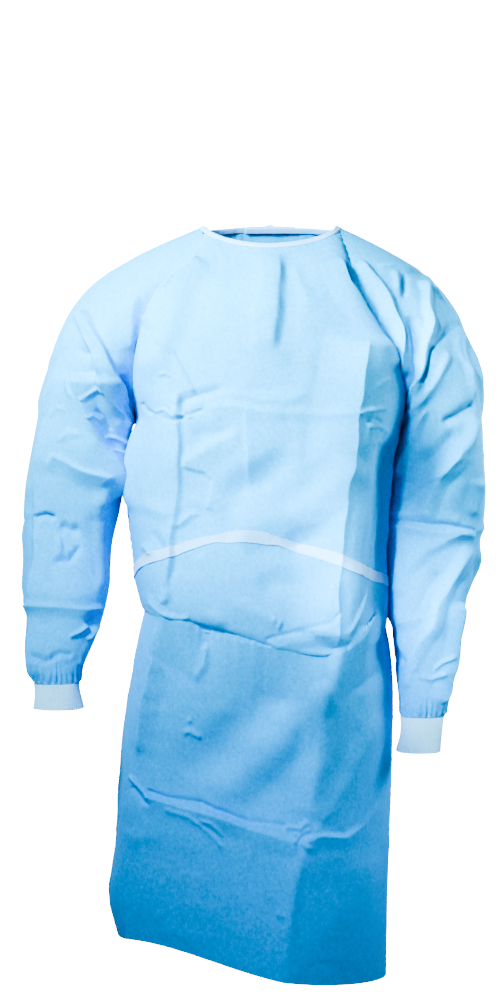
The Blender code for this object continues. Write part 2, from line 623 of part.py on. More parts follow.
def cloth_wall(name, outer, inner, material, collection):
    """A closed wall between two grids of the same shape; where a grid's ends meet it is a tube."""
    is_tube = np.allclose(outer[:, 0], outer[:, -1], atol=1e-7)
    if is_tube:
        outer, inner = outer[:, :-1], inner[:, :-1]
    rows, columns = outer.shape[:2]
    bm = bmesh.new()
    outside, inside = ([[bm.verts.new(point) for point in row] for row in skin] for skin in (outer, inner))
    steps = [(j, (j + 1) % columns) for j in range(columns if is_tube else columns - 1)]
    for i in range(rows - 1):
        for j, k in steps:
            cells = [(skin[i][j], skin[i][k], skin[i + 1][k], skin[i + 1][j]) for skin in (outside, inside)]
            halves = shorter_split(cells[0])
            for cell in cells:
                add_triangles(bm, cell, halves)
    rims = [((i, j), (i, k)) for i in (0, rows - 1) for j, k in steps]
    if not is_tube:
        rims += [((i, j), (i + 1, j)) for j in (0, columns - 1) for i in range(rows - 1)]
    for (i, j), (m, n) in rims:
        cell = (outside[i][j], outside[m][n], inside[m][n], inside[i][j])
        add_triangles(bm, cell, shorter_split(cell))
    return finished(name, bm, material, collection)


def shorter_split(cell):
    """The two triangles of a four-sided cell, parted along its shorter diagonal."""
    a, b, c, d = (vert.co for vert in cell)
    return ((0, 1, 2), (0, 2, 3)) if (a - c).length < (b - d).length else ((0, 1, 3), (1, 2, 3))


def add_triangles(bm, cell, halves):
    for half in halves:
        bm.faces.new([cell[k] for k in half])


def finished(name, bm, material, collection):
    """The bmesh as a smooth-shaded object of the gown, its faces pointing out."""
    bmesh.ops.recalc_face_normals(bm, faces=bm.faces[:])
    if bm.calc_volume(signed=True) < 0:
        bmesh.ops.reverse_faces(bm, faces=bm.faces[:])
    mesh = bpy.data.meshes.new(name)
    bm.to_mesh(mesh)
    bm.free()
    mesh.shade_smooth()
    mesh.set_sharp_from_angle(angle=SHARP_FROM)
    mesh.materials.append(material)
    obj = bpy.data.objects.new(name, mesh)
    collection.objects.link(obj)
    return obj


def main():
    for obj in list(bpy.data.objects):
        bpy.data.objects.remove(obj)
    collection = bpy.data.collections.new("isolation_gown")
    bpy.context.scene.collection.children.link(collection)
    trunk = {"front": front_grid(), "back": back_grid()}
    cuffs = {}
    for side, column, neck_side, spread, rings, cuff in (
        ("right", 0, RIGHT_NECK_SIDE, RIGHT_SPREAD, RIGHT_SLEEVE, RIGHT_CUFF),
        ("left", -1, LEFT_NECK_SIDE, LEFT_SPREAD, LEFT_SLEEVE, LEFT_CUFF),
    ):
        above = slice(bodice_row(len(BODICE)), None)
        loop = raglan_loop(trunk["front"][above, column], trunk["back"][above, column], neck_side)
        trunk[f"sleeve_{side}"] = sleeve_grid(loop, rings, spread)
        cuffs[f"cuff_{side}"] = closed_arm_grid(cuff, len(loop), SLEEVE_ROUNDNESS)
    plain = shared_normals(trunk)
    trunk = {name: folded(name, grid, plain[name]) for name, grid in trunk.items()}
    normals = shared_normals(trunk)
    build_panels(trunk, normals, cuffs, collection)
    build_ties(trunk, normals, collection)


def build_panels(trunk, trunk_normals, cuffs, collection):
    """The cut and sewn pieces, each drawn back from its seams."""
    nonwoven = fabric("blue_nonwoven", NONWOVEN, 0.75)
    tape = fabric("pale_tape", PALE_TAPE, 0.7)
    knit = fabric("white_knit", KNIT_WHITE, 0.9)
    back_right, back_left = back_panels(trunk["back"], trunk_normals["back"])
    grids = {"front": trunk["front"], "back_right": back_right, "back_left": back_left}
    grids.update({name: grid for name, grid in trunk.items() if name.startswith("sleeve")}, **cuffs)
    grids["binding"] = binding_grid(grids)
    normals = shared_normals(grids)
    top, bottom, first, last = (-1, -2), (0, 1), (0, 1), (-1, -2)
    pieces = (
        ("front_panel", "front", WALL, nonwoven, [top], [first, last]),
        ("back_right_panel", "back_right", WALL, nonwoven, [top], [first]),
        ("back_left_panel", "back_left", WALL, nonwoven, [top], [first]),
        ("sleeve_right", "sleeve_right", WALL, nonwoven, [bottom, top], []),
        ("sleeve_left", "sleeve_left", WALL, nonwoven, [bottom, top], []),
        ("cuff_right", "cuff_right", CUFF_WALL, knit, [bottom], []),
        ("cuff_left", "cuff_left", CUFF_WALL, knit, [bottom], []),
        ("neck_binding", "binding", BINDING_WALL, tape, [bottom], []),
    )
    for name, grid_name, wall, material, rows, columns in pieces:
        middle = drawn_back(grids[grid_name], normals[grid_name], rows, columns)
        out = normals[grid_name] * wall / 2
        cloth_wall(name, middle + out, middle - out, material, collection)


def build_ties(trunk, normals, collection):
    """The belt from its weld to its knot, its free ends, and the ties of the neck binding."""
    tape = fabric("belt_tape", PALE_TAPE, 0.7)
    back, back_normals = trunk["back"], normals["back"]
    welded = belt_on_front(trunk["front"], normals["front"], BELT_MIDDLE)
    ribbons = {"belt_middle": [np.array(part).swapaxes(0, 1) for part in welded]}
    ribbons["belt_right"] = belt_stretch(trunk, normals, BELT_RIGHT, True)
    ribbons["belt_left"] = belt_stretch(trunk, normals, BELT_LEFT, False)
    sewn = {name: [(0, 1), (-1, -2)] for name in ribbons}
    below_tuck = range(skirt_row(BELOW_TUCK), skirt_row(TAILS_END) - 1, -1)
    hanging = [belt_row(), bodice_row(1), bodice_row(0), *below_tuck]
    for name, tail in BELT_TAILS.items():
        ribbons[name] = tail_grid(back, back_normals, hanging, tail)
    neck_rows = [len(back) - 1 - k for k in range(4)]
    for name, tail in NECK_TAILS.items():
        ribbons[name] = tail_grid(back, back_normals, neck_rows, tail)
    for name, (grid, outs) in ribbons.items():
        middle = drawn_back(grid, outs, [], sewn.get(name, []))
        out = outs * BELT_THICK / 2
        cloth_wall(name, middle + out, middle - out, tape, collection)
    (low, out), (high, _) = (outer_back(back, back_normals, belt_row() + k, BACK_STEPS / 2) for k in (0, 1))
    knot("belt_knot", low, high, out, BELT_KNOT, BACK_LIFT - SEAM_GAP, tape, collection)
    low, out = outer_back(back, back_normals, len(back) - 1, BACK_STEPS / 2)
    high = low + BINDING_HEIGHT * unit(back[-1, BACK_STEPS // 2] - back[-2, BACK_STEPS // 2])
    sink = BACK_LIFT - SEAM_GAP - (BINDING_WALL - WALL) / 2
    knot("neck_knot", low, high, out, NECK_KNOT, sink, tape, collection)


main()
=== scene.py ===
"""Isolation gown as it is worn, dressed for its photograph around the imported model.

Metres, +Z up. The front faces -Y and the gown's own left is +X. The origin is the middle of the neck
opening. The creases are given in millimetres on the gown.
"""

import json
import math
from collections import namedtuple

import bmesh
import bpy
import numpy as np
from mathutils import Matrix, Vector
from mathutils.bvhtree import BVHTree
from mathutils.kdtree import KDTree

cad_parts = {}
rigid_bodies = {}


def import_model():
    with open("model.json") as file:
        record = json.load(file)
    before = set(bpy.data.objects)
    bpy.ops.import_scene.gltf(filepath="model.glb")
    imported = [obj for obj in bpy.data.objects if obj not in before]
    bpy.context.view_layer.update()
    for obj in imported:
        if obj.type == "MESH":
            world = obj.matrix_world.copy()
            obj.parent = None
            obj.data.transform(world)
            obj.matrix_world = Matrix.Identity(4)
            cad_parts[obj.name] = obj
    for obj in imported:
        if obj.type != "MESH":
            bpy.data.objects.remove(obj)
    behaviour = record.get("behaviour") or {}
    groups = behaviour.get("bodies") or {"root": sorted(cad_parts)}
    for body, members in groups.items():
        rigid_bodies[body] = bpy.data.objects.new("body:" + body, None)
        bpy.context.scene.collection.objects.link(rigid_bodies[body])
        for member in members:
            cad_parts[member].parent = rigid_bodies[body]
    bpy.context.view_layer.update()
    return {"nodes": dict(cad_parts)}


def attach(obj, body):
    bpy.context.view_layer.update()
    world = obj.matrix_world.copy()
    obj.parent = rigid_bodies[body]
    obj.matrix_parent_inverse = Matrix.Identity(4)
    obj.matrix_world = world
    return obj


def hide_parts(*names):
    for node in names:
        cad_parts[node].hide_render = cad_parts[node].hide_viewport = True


MM = 0.001
FULL_TURN = 2 * math.pi

# Picture: a level camera at waist height, and how large a metre shows at that distance
CAMERA_PLACE = (-0.0277, -2.8, -0.418)
PICTURE_HEIGHT_PX = 1000
FOCAL_PX = 1820
SENSOR_MM = 24.0

# The gown's outer form, taken from a packed wall: its rim faces have an edge as short as the wall is
# thick, and edges that lie near a pressed fold stay nearly sharp
RIM_LONGEST = 0.0022
MERGE = 1e-5
PRESSED_NEAR = 0.005
PRESSED_SHARPNESS = 0.85

# Where the cloth hangs free: at the hem, and at the back's open edges, which end at the neck
HEM_BELOW = -0.95
BACK_OPENING = 0.07
NECK_ABOVE = -0.03

# Creases: a high one is a fold that was pressed into the pack, a narrow one is sharp, and the others
# are soft. They wander from their way and vary in height, each with one turn about every so often.
PRESSED_FROM = 0.014
PRESSED_PROFILE = 1.4
SHARP_UNDER = 0.027
SHARP_PROFILE = 1.2
WANDER = 0.0016
WANDER_TURN = 0.06
UNEVEN = 0.22
UNEVEN_TURN = 0.09
TURNED_GAIN = 1.8  # how steeply creases fade where the cloth turns away from the side they are seen from
TURNED_LEAST = 0.05

# Crisp creases: their faces are halved this far around them, in mm, and once more along pressed folds
CRISP_UNDER = 9
CRISP_REACH = 4.5
PRESSED_REACH = 3.0

# Small crumples: how many for a square metre, their smallest and largest length, height and reach, and
# how far they bend in radians. Both backs share one box, so that the same ones run over their lap.
CRUMPLES_PER_M2 = 420
CRUMPLE_LENGTH = (0.025, 0.110)
CRUMPLE_HEIGHT = (0.0003, 0.0013)
CRUMPLE_REACH = (0.006, 0.024)
CRUMPLE_BEND = 0.35
BACK_BOX = (np.array([-0.22, -1.15]), np.array([0.20, 0.0]))

# Seams: creases ease out before them, and the stitching sinks in a valley with puckers beside it
SEAM_EASE = 0.010
SEAM_VALLEY = 0.0007
SEAM_VALLEY_REACH = 0.006
PUCKER = 0.0012
PUCKER_PITCH = 0.016
PUCKER_WAY = (1.0, 0.6, 1.3)
PUCKER_FROM = 0.004
PUCKER_TO = 0.020
TRIM_EASE = 0.020  # the valley deepens over this length, from a quarter of it off the binding and cuffs
TRIM_CLEAR = 0.25

# Panels whose edges are nearer than this are drawn together. Each goes a little over half the way, and
# takes the cloth beside the seam with it. Each edge of a rim is looked up at so many steps.
SEAM_NEAR = 0.012
SEAM_NEAR_SOFT = 0.003
SEAM_SHARE = 0.53
SEAM_DRAW = 0.030
SEAM_STEPS = 4

# The outer back's free edge is laid down by this much, over this length, this near the middle
LAP_DROP = 0.0013
LAP_LAID = 0.030
LAP_NEAR = 0.09

# A crease of the cloth, in a table under the side that it is seen from. height: how far it stands out, or
# in if negative. left, right: its reach to either side of the way, as one walks along it. ends: over
# what length it fades out. way: points (across, up) as seen from that side; from the front and back
# across is +X, from the sides it is +Y. All in millimetres. Ways run upward, or from the picture's left.
Crease = namedtuple("Crease", "height left right ends way")

FRONT_CREASES = {"front": (
    # packing folds down the middle and down both sides
    (1.8, 7, 16, 40, ((-31, -412), (-34, -374), (-35, -330), (-35, -262))),
    (4.0, 46, 46, 60, ((-35, -440), (-33, -300))),
    (6.2, 28, 8, 14, ((-166, -572), (-152, -560), (-144, -475), (-136, -418), (-136, -262))),
    (26.0, 66, 58, 26, ((88, -634), (95, -613), (93, -541), (98, -500), (103, -450), (109, -386),
        (121, -314), (127, -273), (140, -172))),
    (-16.0, 46, 20, 40, ((152, -612), (162, -541), (168, -500), (176, -386), (182, -314))),
    # soft fold below the neck
    (5.0, 34, 13, 34, ((0, -206), (8, -128), (14, -45))),
    (-3.5, 16, 24, 30, ((14, -206), (22, -150), (28, -104))),
    (2.6, 18, 14, 25, ((64, -146), (43, -105), (36, -56))),
    # the deep pockets beside the raglan seams, under the folded edges of the front
    (8.8, 6, 40, 14, ((-192, -160), (-168, -128), (-146, -103), (-122, -74), (-108, -52))),
    (-10.0, 9, 8, 12, ((-190, -142), (-174, -108), (-150, -88), (-128, -64))),
    (8.8, 34, 6, 14, ((190, -222), (169, -184), (149, -148), (131, -125), (114, -100), (102, -54))),
    (-11.2, 9, 9, 14, ((188, -192), (166, -144), (144, -108), (120, -80), (112, -58))),
    (-4.0, 16, 22, 30, ((176, -290), (172, -230), (160, -186))),
    # pulled to the underarm
    (2.8, 5, 5, 10, ((-172, -175), (-143, -204), (-127, -232), (-110, -267))),
    (2.0, 5, 5, 6, ((-164, -236), (-152, -234), (-143, -241))),
    (6.0, 34, 30, 40, ((-186, -250), (-162, -190), (-124, -110))),
    (2.5, 6, 6, 10, ((148, -260), (162, -246), (176, -240))),
    # across the chest
    (4.2, 12, 22, 12, ((-95, -286), (-60, -284), (-6, -288), (22, -291))),
    (3.0, 10, 12, 14, ((10, -290), (60, -294), (100, -297), (139, -300))),
    (-6.0, 11, 10, 12, ((-136, -279), (-103, -266), (-68, -254))),
    (3.0, 12, 14, 20, ((-70, -262), (-20, -270), (20, -276), (60, -262))),
    (3.2, 5, 5, 6, ((-172, -289), (-155, -284), (-145, -290), (-136, -298))),
    (-3.0, 5, 5, 6, ((-160, -296), (-138, -303), (-122, -294), (-95, -287))),
    (2.8, 5, 5, 6, ((-150, -276), (-136, -291), (-112, -298))),
    (-6.2, 6, 6, 5, ((-192, -272), (-184, -286), (-172, -294))),
    (3.8, 6, 5, 6, ((124, -302), (139, -292), (152, -286), (168, -282))),
    (-3.2, 5, 5, 6, ((130, -310), (146, -301), (160, -306))),
    (3.2, 5, 5, 6, ((134, -316), (152, -311), (166, -314), (172, -322))),
    (2.5, 5, 5, 6, ((140, -340), (156, -330), (168, -338))),
    # below the chest: a dent beside the middle, the light triangle and the light diagonal
    (-5.0, 20, 24, 24, ((-122, -326), (-84, -322), (-52, -312))),
    (4.6, 10, 30, 14, ((-131, -368), (-110, -353), (-81, -334), (-45, -320))),
    (4.0, 26, 6, 8, ((-132, -368), (-92, -378), (-80, -390), (-86, -412), (-95, -432))),
    (-9.0, 38, 32, 34, ((-72, -412), (-10, -392), (40, -352))),
    (12.0, 36, 44, 34, ((-64, -458), (-30, -456), (27, -441), (85, -400), (126, -352))),
    (-5.0, 22, 24, 30, ((10, -490), (60, -474), (92, -468))),
    (-4.0, 18, 20, 24, ((-118, -452), (-96, -420))),
    (3.2, 14, 14, 14, ((-204, -418), (-172, -430), (-140, -444))),
    (3.5, 10, 8, 10, ((-139, -460), (-118, -440), (-100, -436))),
    (5.0, 8, 9, 8, ((-193, -482), (-182, -490), (-174, -501))),
    (-3.6, 14, 14, 14, ((-180, -462), (-160, -484), (-150, -494))),
    # between belt and overhang
    (4.8, 10, 26, 12, ((-103, -494), (-81, -527), (-62, -557), (-45, -568), (-18, -580), (12, -588))),
    (3.8, 7, 12, 5, ((0, -586), (13, -592), (8, -606))),
    (4.0, 16, 16, 20, ((-117, -512), (-104, -548), (-92, -578), (-62, -600))),
    (-5.0, 30, 30, 24, ((-26, -548), (24, -536), (64, -540))),
    (-2.5, 5, 5, 10, ((-13, -620), (13, -614), (41, -606), (56, -601), (82, -594), (99, -577))),
    (2.4, 14, 12, 10, ((-4, -630), (30, -624), (60, -616), (84, -606))),
    (5.0, 20, 20, 18, ((70, -588), (84, -560), (94, -528))),
    (4.2, 5, 9, 8, ((-184, -566), (-160, -580), (-138, -586), (-116, -588))),
    (-3.0, 10, 10, 14, ((-156, -556), (-140, -520), (-138, -500))),
    # loose cloth on the left side
    (4.5, 6, 7, 14, ((100, -613), (128, -577), (146, -532), (155, -483), (166, -426))),
    (4.0, 20, 24, 24, ((142, -604), (164, -560), (172, -498))),
    # the overhang's rolled edge, and the skirt that comes forward under it
    (3.2, 7, 4, 10, ((-185, -560), (-153, -583), (-120, -598), (-94, -610), (-31, -621), (34, -634),
        (75, -640), (94, -636), (114, -626), (141, -607), (164, -582))),
    # skirt: the same packing folds go on below the overhang
    (6.2, 7, 24, 24, ((-198, -800), (-190, -741), (-181, -689), (-172, -635), (-163, -594))),
    (5.0, 26, 9, 14, ((-112, -684), (-98, -660), (-93, -622))),
    (3.0, 24, 10, 30, ((27, -1060), (30, -1018), (36, -967), (42, -918))),
    (6.0, 40, 30, 20, ((58, -884), (65, -851), (71, -794), (78, -736), (85, -678), (92, -645))),
    (7.0, 36, 44, 40, ((-82, -862), (-30, -806), (22, -756), (62, -690), (86, -656))),
    (-6.0, 48, 36, 40, ((-150, -822), (-80, -792), (-30, -738), (26, -682))),
    (-4.0, 26, 26, 30, ((88, -836), (112, -770), (132, -700))),
    (7.0, 26, 36, 30, ((50, -912), (86, -862), (118, -812), (146, -768), (166, -724))),
    (3.0, 7, 7, 8, ((-132, -760), (-118, -756), (-98, -766))),
    (2.5, 6, 6, 8, ((-126, -742), (-112, -738))),
    # across the skirt
    (-4.0, 6, 7, 10, ((-188, -846), (-153, -855), (-102, -859), (-82, -868), (-30, -883), (26, -886))),
    (7.5, 7, 22, 12, ((-190, -858), (-153, -864), (-117, -870), (-60, -880), (-16, -898), (27, -909),
        (44, -913))),
    (5.5, 8, 20, 12, ((40, -912), (70, -903), (106, -907), (140, -890), (170, -868))),
    (4.2, 6, 6, 6, ((-211, -826), (-196, -842), (-178, -862))),
    (-3.2, 5, 6, 6, ((-207, -842), (-190, -866), (-176, -872))),
    (3.0, 5, 7, 8, ((-158, -872), (-118, -880), (-88, -904), (-66, -926))),
    (2.8, 5, 6, 8, ((-104, -884), (-84, -888), (-66, -908))),
    (4.5, 6, 6, 5, ((18, -888), (40, -890), (55, -878))),
    (4.0, 5, 6, 5, ((30, -896), (46, -914), (60, -922))),
    (-3.8, 5, 6, 5, ((34, -916), (44, -902), (58, -894))),
    (3.0, 6, 7, 8, ((6, -1012), (26, -1020))),
    (2.6, 26, 26, 40, ((-16, -1010), (18, -960))),
    (2.6, 34, 34, 60, ((-120, -1000), (-60, -940))),
    (9.0, 60, 60, 70, ((100, -1080), (124, -1000), (140, -920))),
), "right": (
    # the sides, full against the sleeves
    (10.0, 45, 45, 30, ((-60, -440), (-60, -290))),
), "left": (
    (4.0, 45, 45, 30, ((-50, -500), (-50, -300))),
)}

SLEEVE_RIGHT_CREASES = {"front": (
    # pressed edge down the outside
    (8.5, 9, 30, 16, ((-354, -684), (-359, -628), (-359, -573), (-353, -508), (-349, -463),
        (-352, -441), (-352, -373), (-346, -328), (-337, -283), (-328, -238),
        (-313, -186), (-290, -132))),
    # a strap-like fold from the shoulder to the underarm, with a pocket on either side
    (14.0, 9, 20, 12, ((-207, -332), (-220, -310), (-233, -280), (-247, -245), (-260, -205),
        (-274, -170), (-291, -136))),
    (13.5, 15, 5, 12, ((-201, -292), (-208, -280), (-223, -250), (-236, -220), (-248, -193),
        (-263, -163), (-280, -132))),
    (-13.5, 9, 10, 10, ((-202, -300), (-212, -266), (-222, -228))),
    (-7.5, 18, 22, 18, ((-226, -396), (-236, -352), (-250, -300), (-262, -244), (-270, -220))),
    # the sleeve's flat front, folded sharply towards that pocket
    (25.0, 52, 58, 10, ((-222, -408), (-238, -385), (-256, -358), (-269, -331), (-274, -300),
        (-277, -262), (-277, -230))),
    (4.2, 16, 12, 14, ((-212, -200), (-206, -150), (-198, -110))),
    # crumples in the pocket
    (4.1, 4, 5, 5, ((-277, -264), (-266, -258), (-251, -250), (-247, -258))),
    (4.4, 4, 5, 5, ((-254, -318), (-238, -319), (-222, -328), (-210, -331))),
    (3.7, 5, 5, 6, ((-256, -343), (-241, -340), (-226, -348))),
    (-4.1, 5, 5, 6, ((-262, -276), (-250, -290), (-240, -312))),
    (3.4, 5, 5, 6, ((-278, -290), (-262, -284), (-248, -298))),
    (-3.7, 5, 5, 6, ((-236, -372), (-222, -366), (-214, -372))),
    # on the flat front
    (-6.1, 9, 9, 10, ((-292, -186), (-278, -200), (-262, -204))),
    (3.7, 6, 6, 14, ((-338, -298), (-331, -260), (-316, -216), (-298, -170))),
    (3.7, 6, 7, 10, ((-290, -268), (-296, -250), (-294, -208))),
    (3.4, 6, 6, 8, ((-332, -296), (-318, -280), (-300, -286))),
    (3.1, 5, 6, 8, ((-322, -330), (-300, -318), (-284, -322))),
    # down the forearm
    (7.5, 6, 26, 9, ((-331, -350), (-293, -368), (-252, -386))),
    (-6.2, 20, 14, 18, ((-250, -396), (-246, -470), (-244, -560))),
    (6.2, 24, 14, 20, ((-258, -396), (-254, -470), (-252, -560))),
    (-6.8, 7, 8, 7, ((-355, -446), (-338, -440), (-322, -447))),
    (-7.5, 13, 13, 9, ((-318, -456), (-300, -466), (-284, -462))),
    (7.5, 20, 20, 4, ((-322, -487), (-312, -484))),
    (-6.8, 9, 9, 10, ((-325, -508), (-300, -506), (-284, -486))),
    (6.1, 9, 16, 6, ((-366, -574), (-316, -577), (-278, -580), (-248, -580))),
    (-8.8, 14, 16, 12, ((-278, -600), (-250, -590))),
    (5.4, 6, 6, 6, ((-274, -628), (-262, -612), (-250, -600))),
    (4.8, 6, 6, 6, ((-300, -622), (-284, -614), (-270, -602))),
    (3.8, 10, 12, 10, ((-286, -664), (-266, -630), (-250, -596))),
    (-5.4, 7, 7, 8, ((-356, -650), (-332, -656), (-314, -650))),
    (-5.1, 7, 7, 8, ((-326, -652), (-308, -644), (-290, -646))),
    (-3.8, 12, 14, 16, ((-338, -610), (-330, -590))),
), "left": (
    (11.0, 40, 40, 30, ((-62, -450), (-36, -268))),
), "right": (
    (5.0, 18, 16, 40, ((0, -300), (10, -160))),
    (-5.0, 20, 22, 40, ((-20, -470), (30, -380))),
    (3.0, 12, 12, 20, ((-90, -578), (0, -574))),
    (5.6, 18, 16, 40, ((-60, -640), (-20, -520), (20, -430))),
), "back": (
    (8.8, 16, 22, 30, ((-232, -230), (-290, -140))),
    (-8.8, 20, 18, 30, ((-220, -320), (-290, -230))),
    (7.5, 12, 20, 24, ((-360, -430), (-280, -380))),
    (7.5, 14, 22, 24, ((-350, -520), (-280, -480))),
    (7.8, 9, 16, 12, ((-364, -576), (-256, -574))),
)}

SLEEVE_LEFT_CREASES = {"front": (
    # along the raglan seam, and the pocket behind it
    (10.2, 16, 7, 16, ((201, -238), (199, -208), (193, -163), (179, -125), (161, -91), (134, -60))),
    (-10.0, 10, 12, 14, ((200, -292), (210, -240), (218, -190), (208, -140))),
    # the long fold from the shoulder to the underarm, and the leaf-shaped one beside it
    (13.5, 7, 14, 16, ((197, -304), (212, -260), (225, -215), (229, -186), (235, -148), (231, -103),
        (224, -84))),
    (10.0, 10, 12, 12, ((200, -303), (222, -272), (246, -236), (260, -208), (268, -192))),
    (-8.5, 7, 8, 10, ((222, -248), (236, -214), (242, -184))),
    (-7.5, 10, 12, 14, ((240, -190), (262, -168), (286, -150))),
    (4.4, 5, 6, 6, ((232, -190), (248, -178), (262, -160))),
    (-7.5, 8, 8, 10, ((198, -120), (201, -96), (204, -76))),
    (5.1, 8, 9, 10, ((188, -108), (190, -88), (184, -72))),
    (4.1, 6, 7, 10, ((158, -68), (194, -66), (222, -72))),
    # pressed edge down the outside
    (6.1, 10, 7, 14, ((310, -266), (298, -216), (290, -172), (276, -136), (252, -98), (230, -70))),
    (4.4, 8, 7, 12, ((306, -236), (286, -200), (280, -160))),
    # diagonals of the upper sleeve
    (-10.2, 9, 10, 10, ((256, -304), (288, -286), (312, -272))),
    (10.2, 24, 8, 14, ((196, -384), (204, -372), (218, -326), (236, -278))),
    (10.0, 16, 16, 14, ((228, -450), (240, -416), (256, -384), (278, -360), (300, -326), (312, -290))),
    (6.8, 22, 8, 16, ((204, -418), (234, -394), (264, -372), (296, -350))),
    (-7.5, 14, 16, 16, ((226, -372), (252, -344), (282, -316))),
    (7.5, 18, 20, 12, ((300, -444), (316, -408), (318, -384))),
    # across the elbow
    (-4.0, 5, 6, 8, ((176, -448), (226, -452), (270, -457), (312, -463))),
    (4.0, 16, 10, 8, ((180, -440), (230, -442), (290, -450))),
    (4.4, 8, 14, 6, ((176, -458), (226, -462), (270, -467), (312, -472))),
    # down the forearm
    (6.2, 30, 12, 18, ((192, -568), (204, -530), (240, -492), (284, -470), (312, -464))),
    (10.0, 16, 18, 18, ((202, -680), (218, -643), (240, -612), (252, -576), (270, -538), (306, -486))),
    (-6.2, 16, 16, 18, ((216, -600), (232, -560), (262, -520))),
    (6.8, 8, 16, 10, ((192, -606), (212, -600), (232, -598))),
    (-6.8, 8, 8, 8, ((186, -640), (196, -656), (206, -668))),
    (8.5, 22, 8, 14, ((254, -730), (266, -706), (278, -668), (286, -622), (292, -570))),
    (4.8, 5, 6, 6, ((222, -682), (244, -688), (266, -680))),
    (4.1, 5, 6, 6, ((246, -676), (258, -662), (276, -652))),
    (4.4, 6, 6, 8, ((204, -700), (212, -676), (220, -664))),
), "right": (
    (9.0, 50, 50, 30, ((-10, -620), (-10, -268))),
), "left": (
    (7.5, 18, 22, 40, ((0, -300), (-10, -160))),
    (-7.5, 20, 22, 40, ((40, -400), (-20, -340))),
    (3.0, 12, 12, 20, ((-60, -463), (80, -456))),
    (8.1, 18, 20, 40, ((50, -640), (10, -540), (-30, -480))),
), "back": (
    (8.8, 16, 22, 30, ((222, -230), (270, -140))),
    (-8.8, 20, 18, 30, ((200, -320), (262, -230))),
    (7.5, 12, 20, 24, ((200, -440), (300, -380))),
    (7.5, 14, 22, 24, ((200, -600), (270, -540))),
)}

BACK_CREASES = {"back": (
    (5.1, 24, 14, 40, ((-120, -1040), (-118, -700))),
    (5.1, 14, 24, 40, ((112, -1060), (108, -700))),
    (4.5, 20, 14, 40, ((-128, -560), (-124, -240))),
    (4.5, 14, 20, 40, ((118, -560), (120, -240))),
    (4.2, 16, 20, 16, ((-190, -292), (-60, -298), (60, -292), (180, -304))),
    (6, 20, 12, 16, ((-210, -850), (-90, -872), (40, -884), (176, -880))),
    (9, 26, 22, 50, ((20, -540), (90, -470), (160, -430))),
    (9, 24, 26, 50, ((-190, -440), (-110, -480), (-30, -540))),
    (-6.8, 26, 24, 40, ((30, -480), (90, -400))),
    (-6.8, 24, 26, 40, ((-110, -400), (-40, -480))),
    (7.5, 24, 26, 50, ((30, -380), (100, -250), (150, -170))),
    (7.5, 26, 24, 50, ((-160, -180), (-110, -260), (-40, -380))),
    (7.5, 24, 24, 60, ((-40, -800), (-20, -640))),
    (9, 28, 24, 60, ((60, -820), (30, -640))),
    (-7.5, 30, 28, 60, ((-90, -820), (-60, -650))),
    (7.5, 30, 34, 90, ((-60, -1090), (-56, -920))),
    (-7.5, 34, 30, 90, ((10, -1090), (16, -930))),
    (7.5, 34, 30, 90, ((80, -1110), (78, -930))),
)}

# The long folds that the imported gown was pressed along, as seen from the front
PRESSED = [
    ((-213, -1075), (-221, -1012), (-210, -942), (-206, -872), (-204, -848), (-192, -762), (-182, -688),
     (-167, -612), (-160, -584)),
    ((-156, -590), (-152, -560), (-150, -505), (-148, -489), (-142, -455), (-137, -392), (-136, -332),
     (-136, -296), (-136, -258), (-134, -205)),
    ((19, -1114), (25, -1046), (38, -974), (51, -911), (54, -886), (66, -790), (75, -708), (87, -664),
     (92, -640)),
    ((97, -646), (103, -602), (106, -525), (107, -509), (112, -468), (122, -396), (132, -334), (138, -300),
     (142, -260), (142, -207)),
]

# The lower edge of the overhang, as seen from the front, in millimetres
OVERHANG_EDGE = ((-185, -564), (-153, -587), (-120, -602), (-94, -614), (-31, -625), (34, -638), (75, -644),
                 (94, -640), (114, -630), (141, -611), (164, -586))

# The skirt lies this far in under the overhang's edge, and comes back to its own form over this length.
# The edge's depth is read at stations across the front, just above the edge.
OVERHANG_STEP = 0.004
OVERHANG_ENDS = 0.030
SKIRT_RISE = 0.070
FRONT_BEFORE = -0.05
STATION_STEP = 0.005
STATION_REACH = 0.006
LIP_ABOVE = 0.004
LIP_REACH = 0.008
LIP_BEHIND = 0.012

# Belt and neck tie: how far off the cloth, how thick the folded tape is, how much its edges stand up, and
# the diamonds of the weld that holds the belt's middle
TAPE_THICK = 0.0007
TAPE_EDGE = 0.0004
TAPE_EDGE_REACH = 0.0022
TAPE_UNEVEN = 0.0003
TAPE_UNEVEN_TURN = 0.02
WELD_PITCH = 0.0030
WELD_HEIGHT = 0.0004
WELD_EASE = 0.0012
BELT_LIFT = 0.0003
FREE_END_LIFT = 0.0006
TAPE_RAY = 0.03  # the cloth is looked for this far outside the tape and this far inside
BELT_KNOT_SPREAD = 0.0016
NECK_KNOT_SPREAD = 0.0009

# Cuffs: knitted ribs all round. Ripples: height, turns round the cuff, and rise in metres for a radian.
RIBS = 62
RIB_HEIGHT = 0.0007
RIB_ROUNDNESS = 0.7
RIB_MIDDLE = 0.6
CUFF_RIPPLES = ((0.0006, 3, 0.009), (0.0005, 5, -0.014))
CUFF_THICK = 0.0013

# Gathers above the cuffs, and the middle of each sleeve's end, where the cuff takes them in
GATHERS = 23
GATHER_HEIGHT = 0.0022
GATHER_REACH = 0.045
GATHER_EASE = 0.006
SLEEVE_ENDS = {"sleeve_right": (-0.317, -0.103, -0.689), "sleeve_left": (0.232, -0.027, -0.747)}

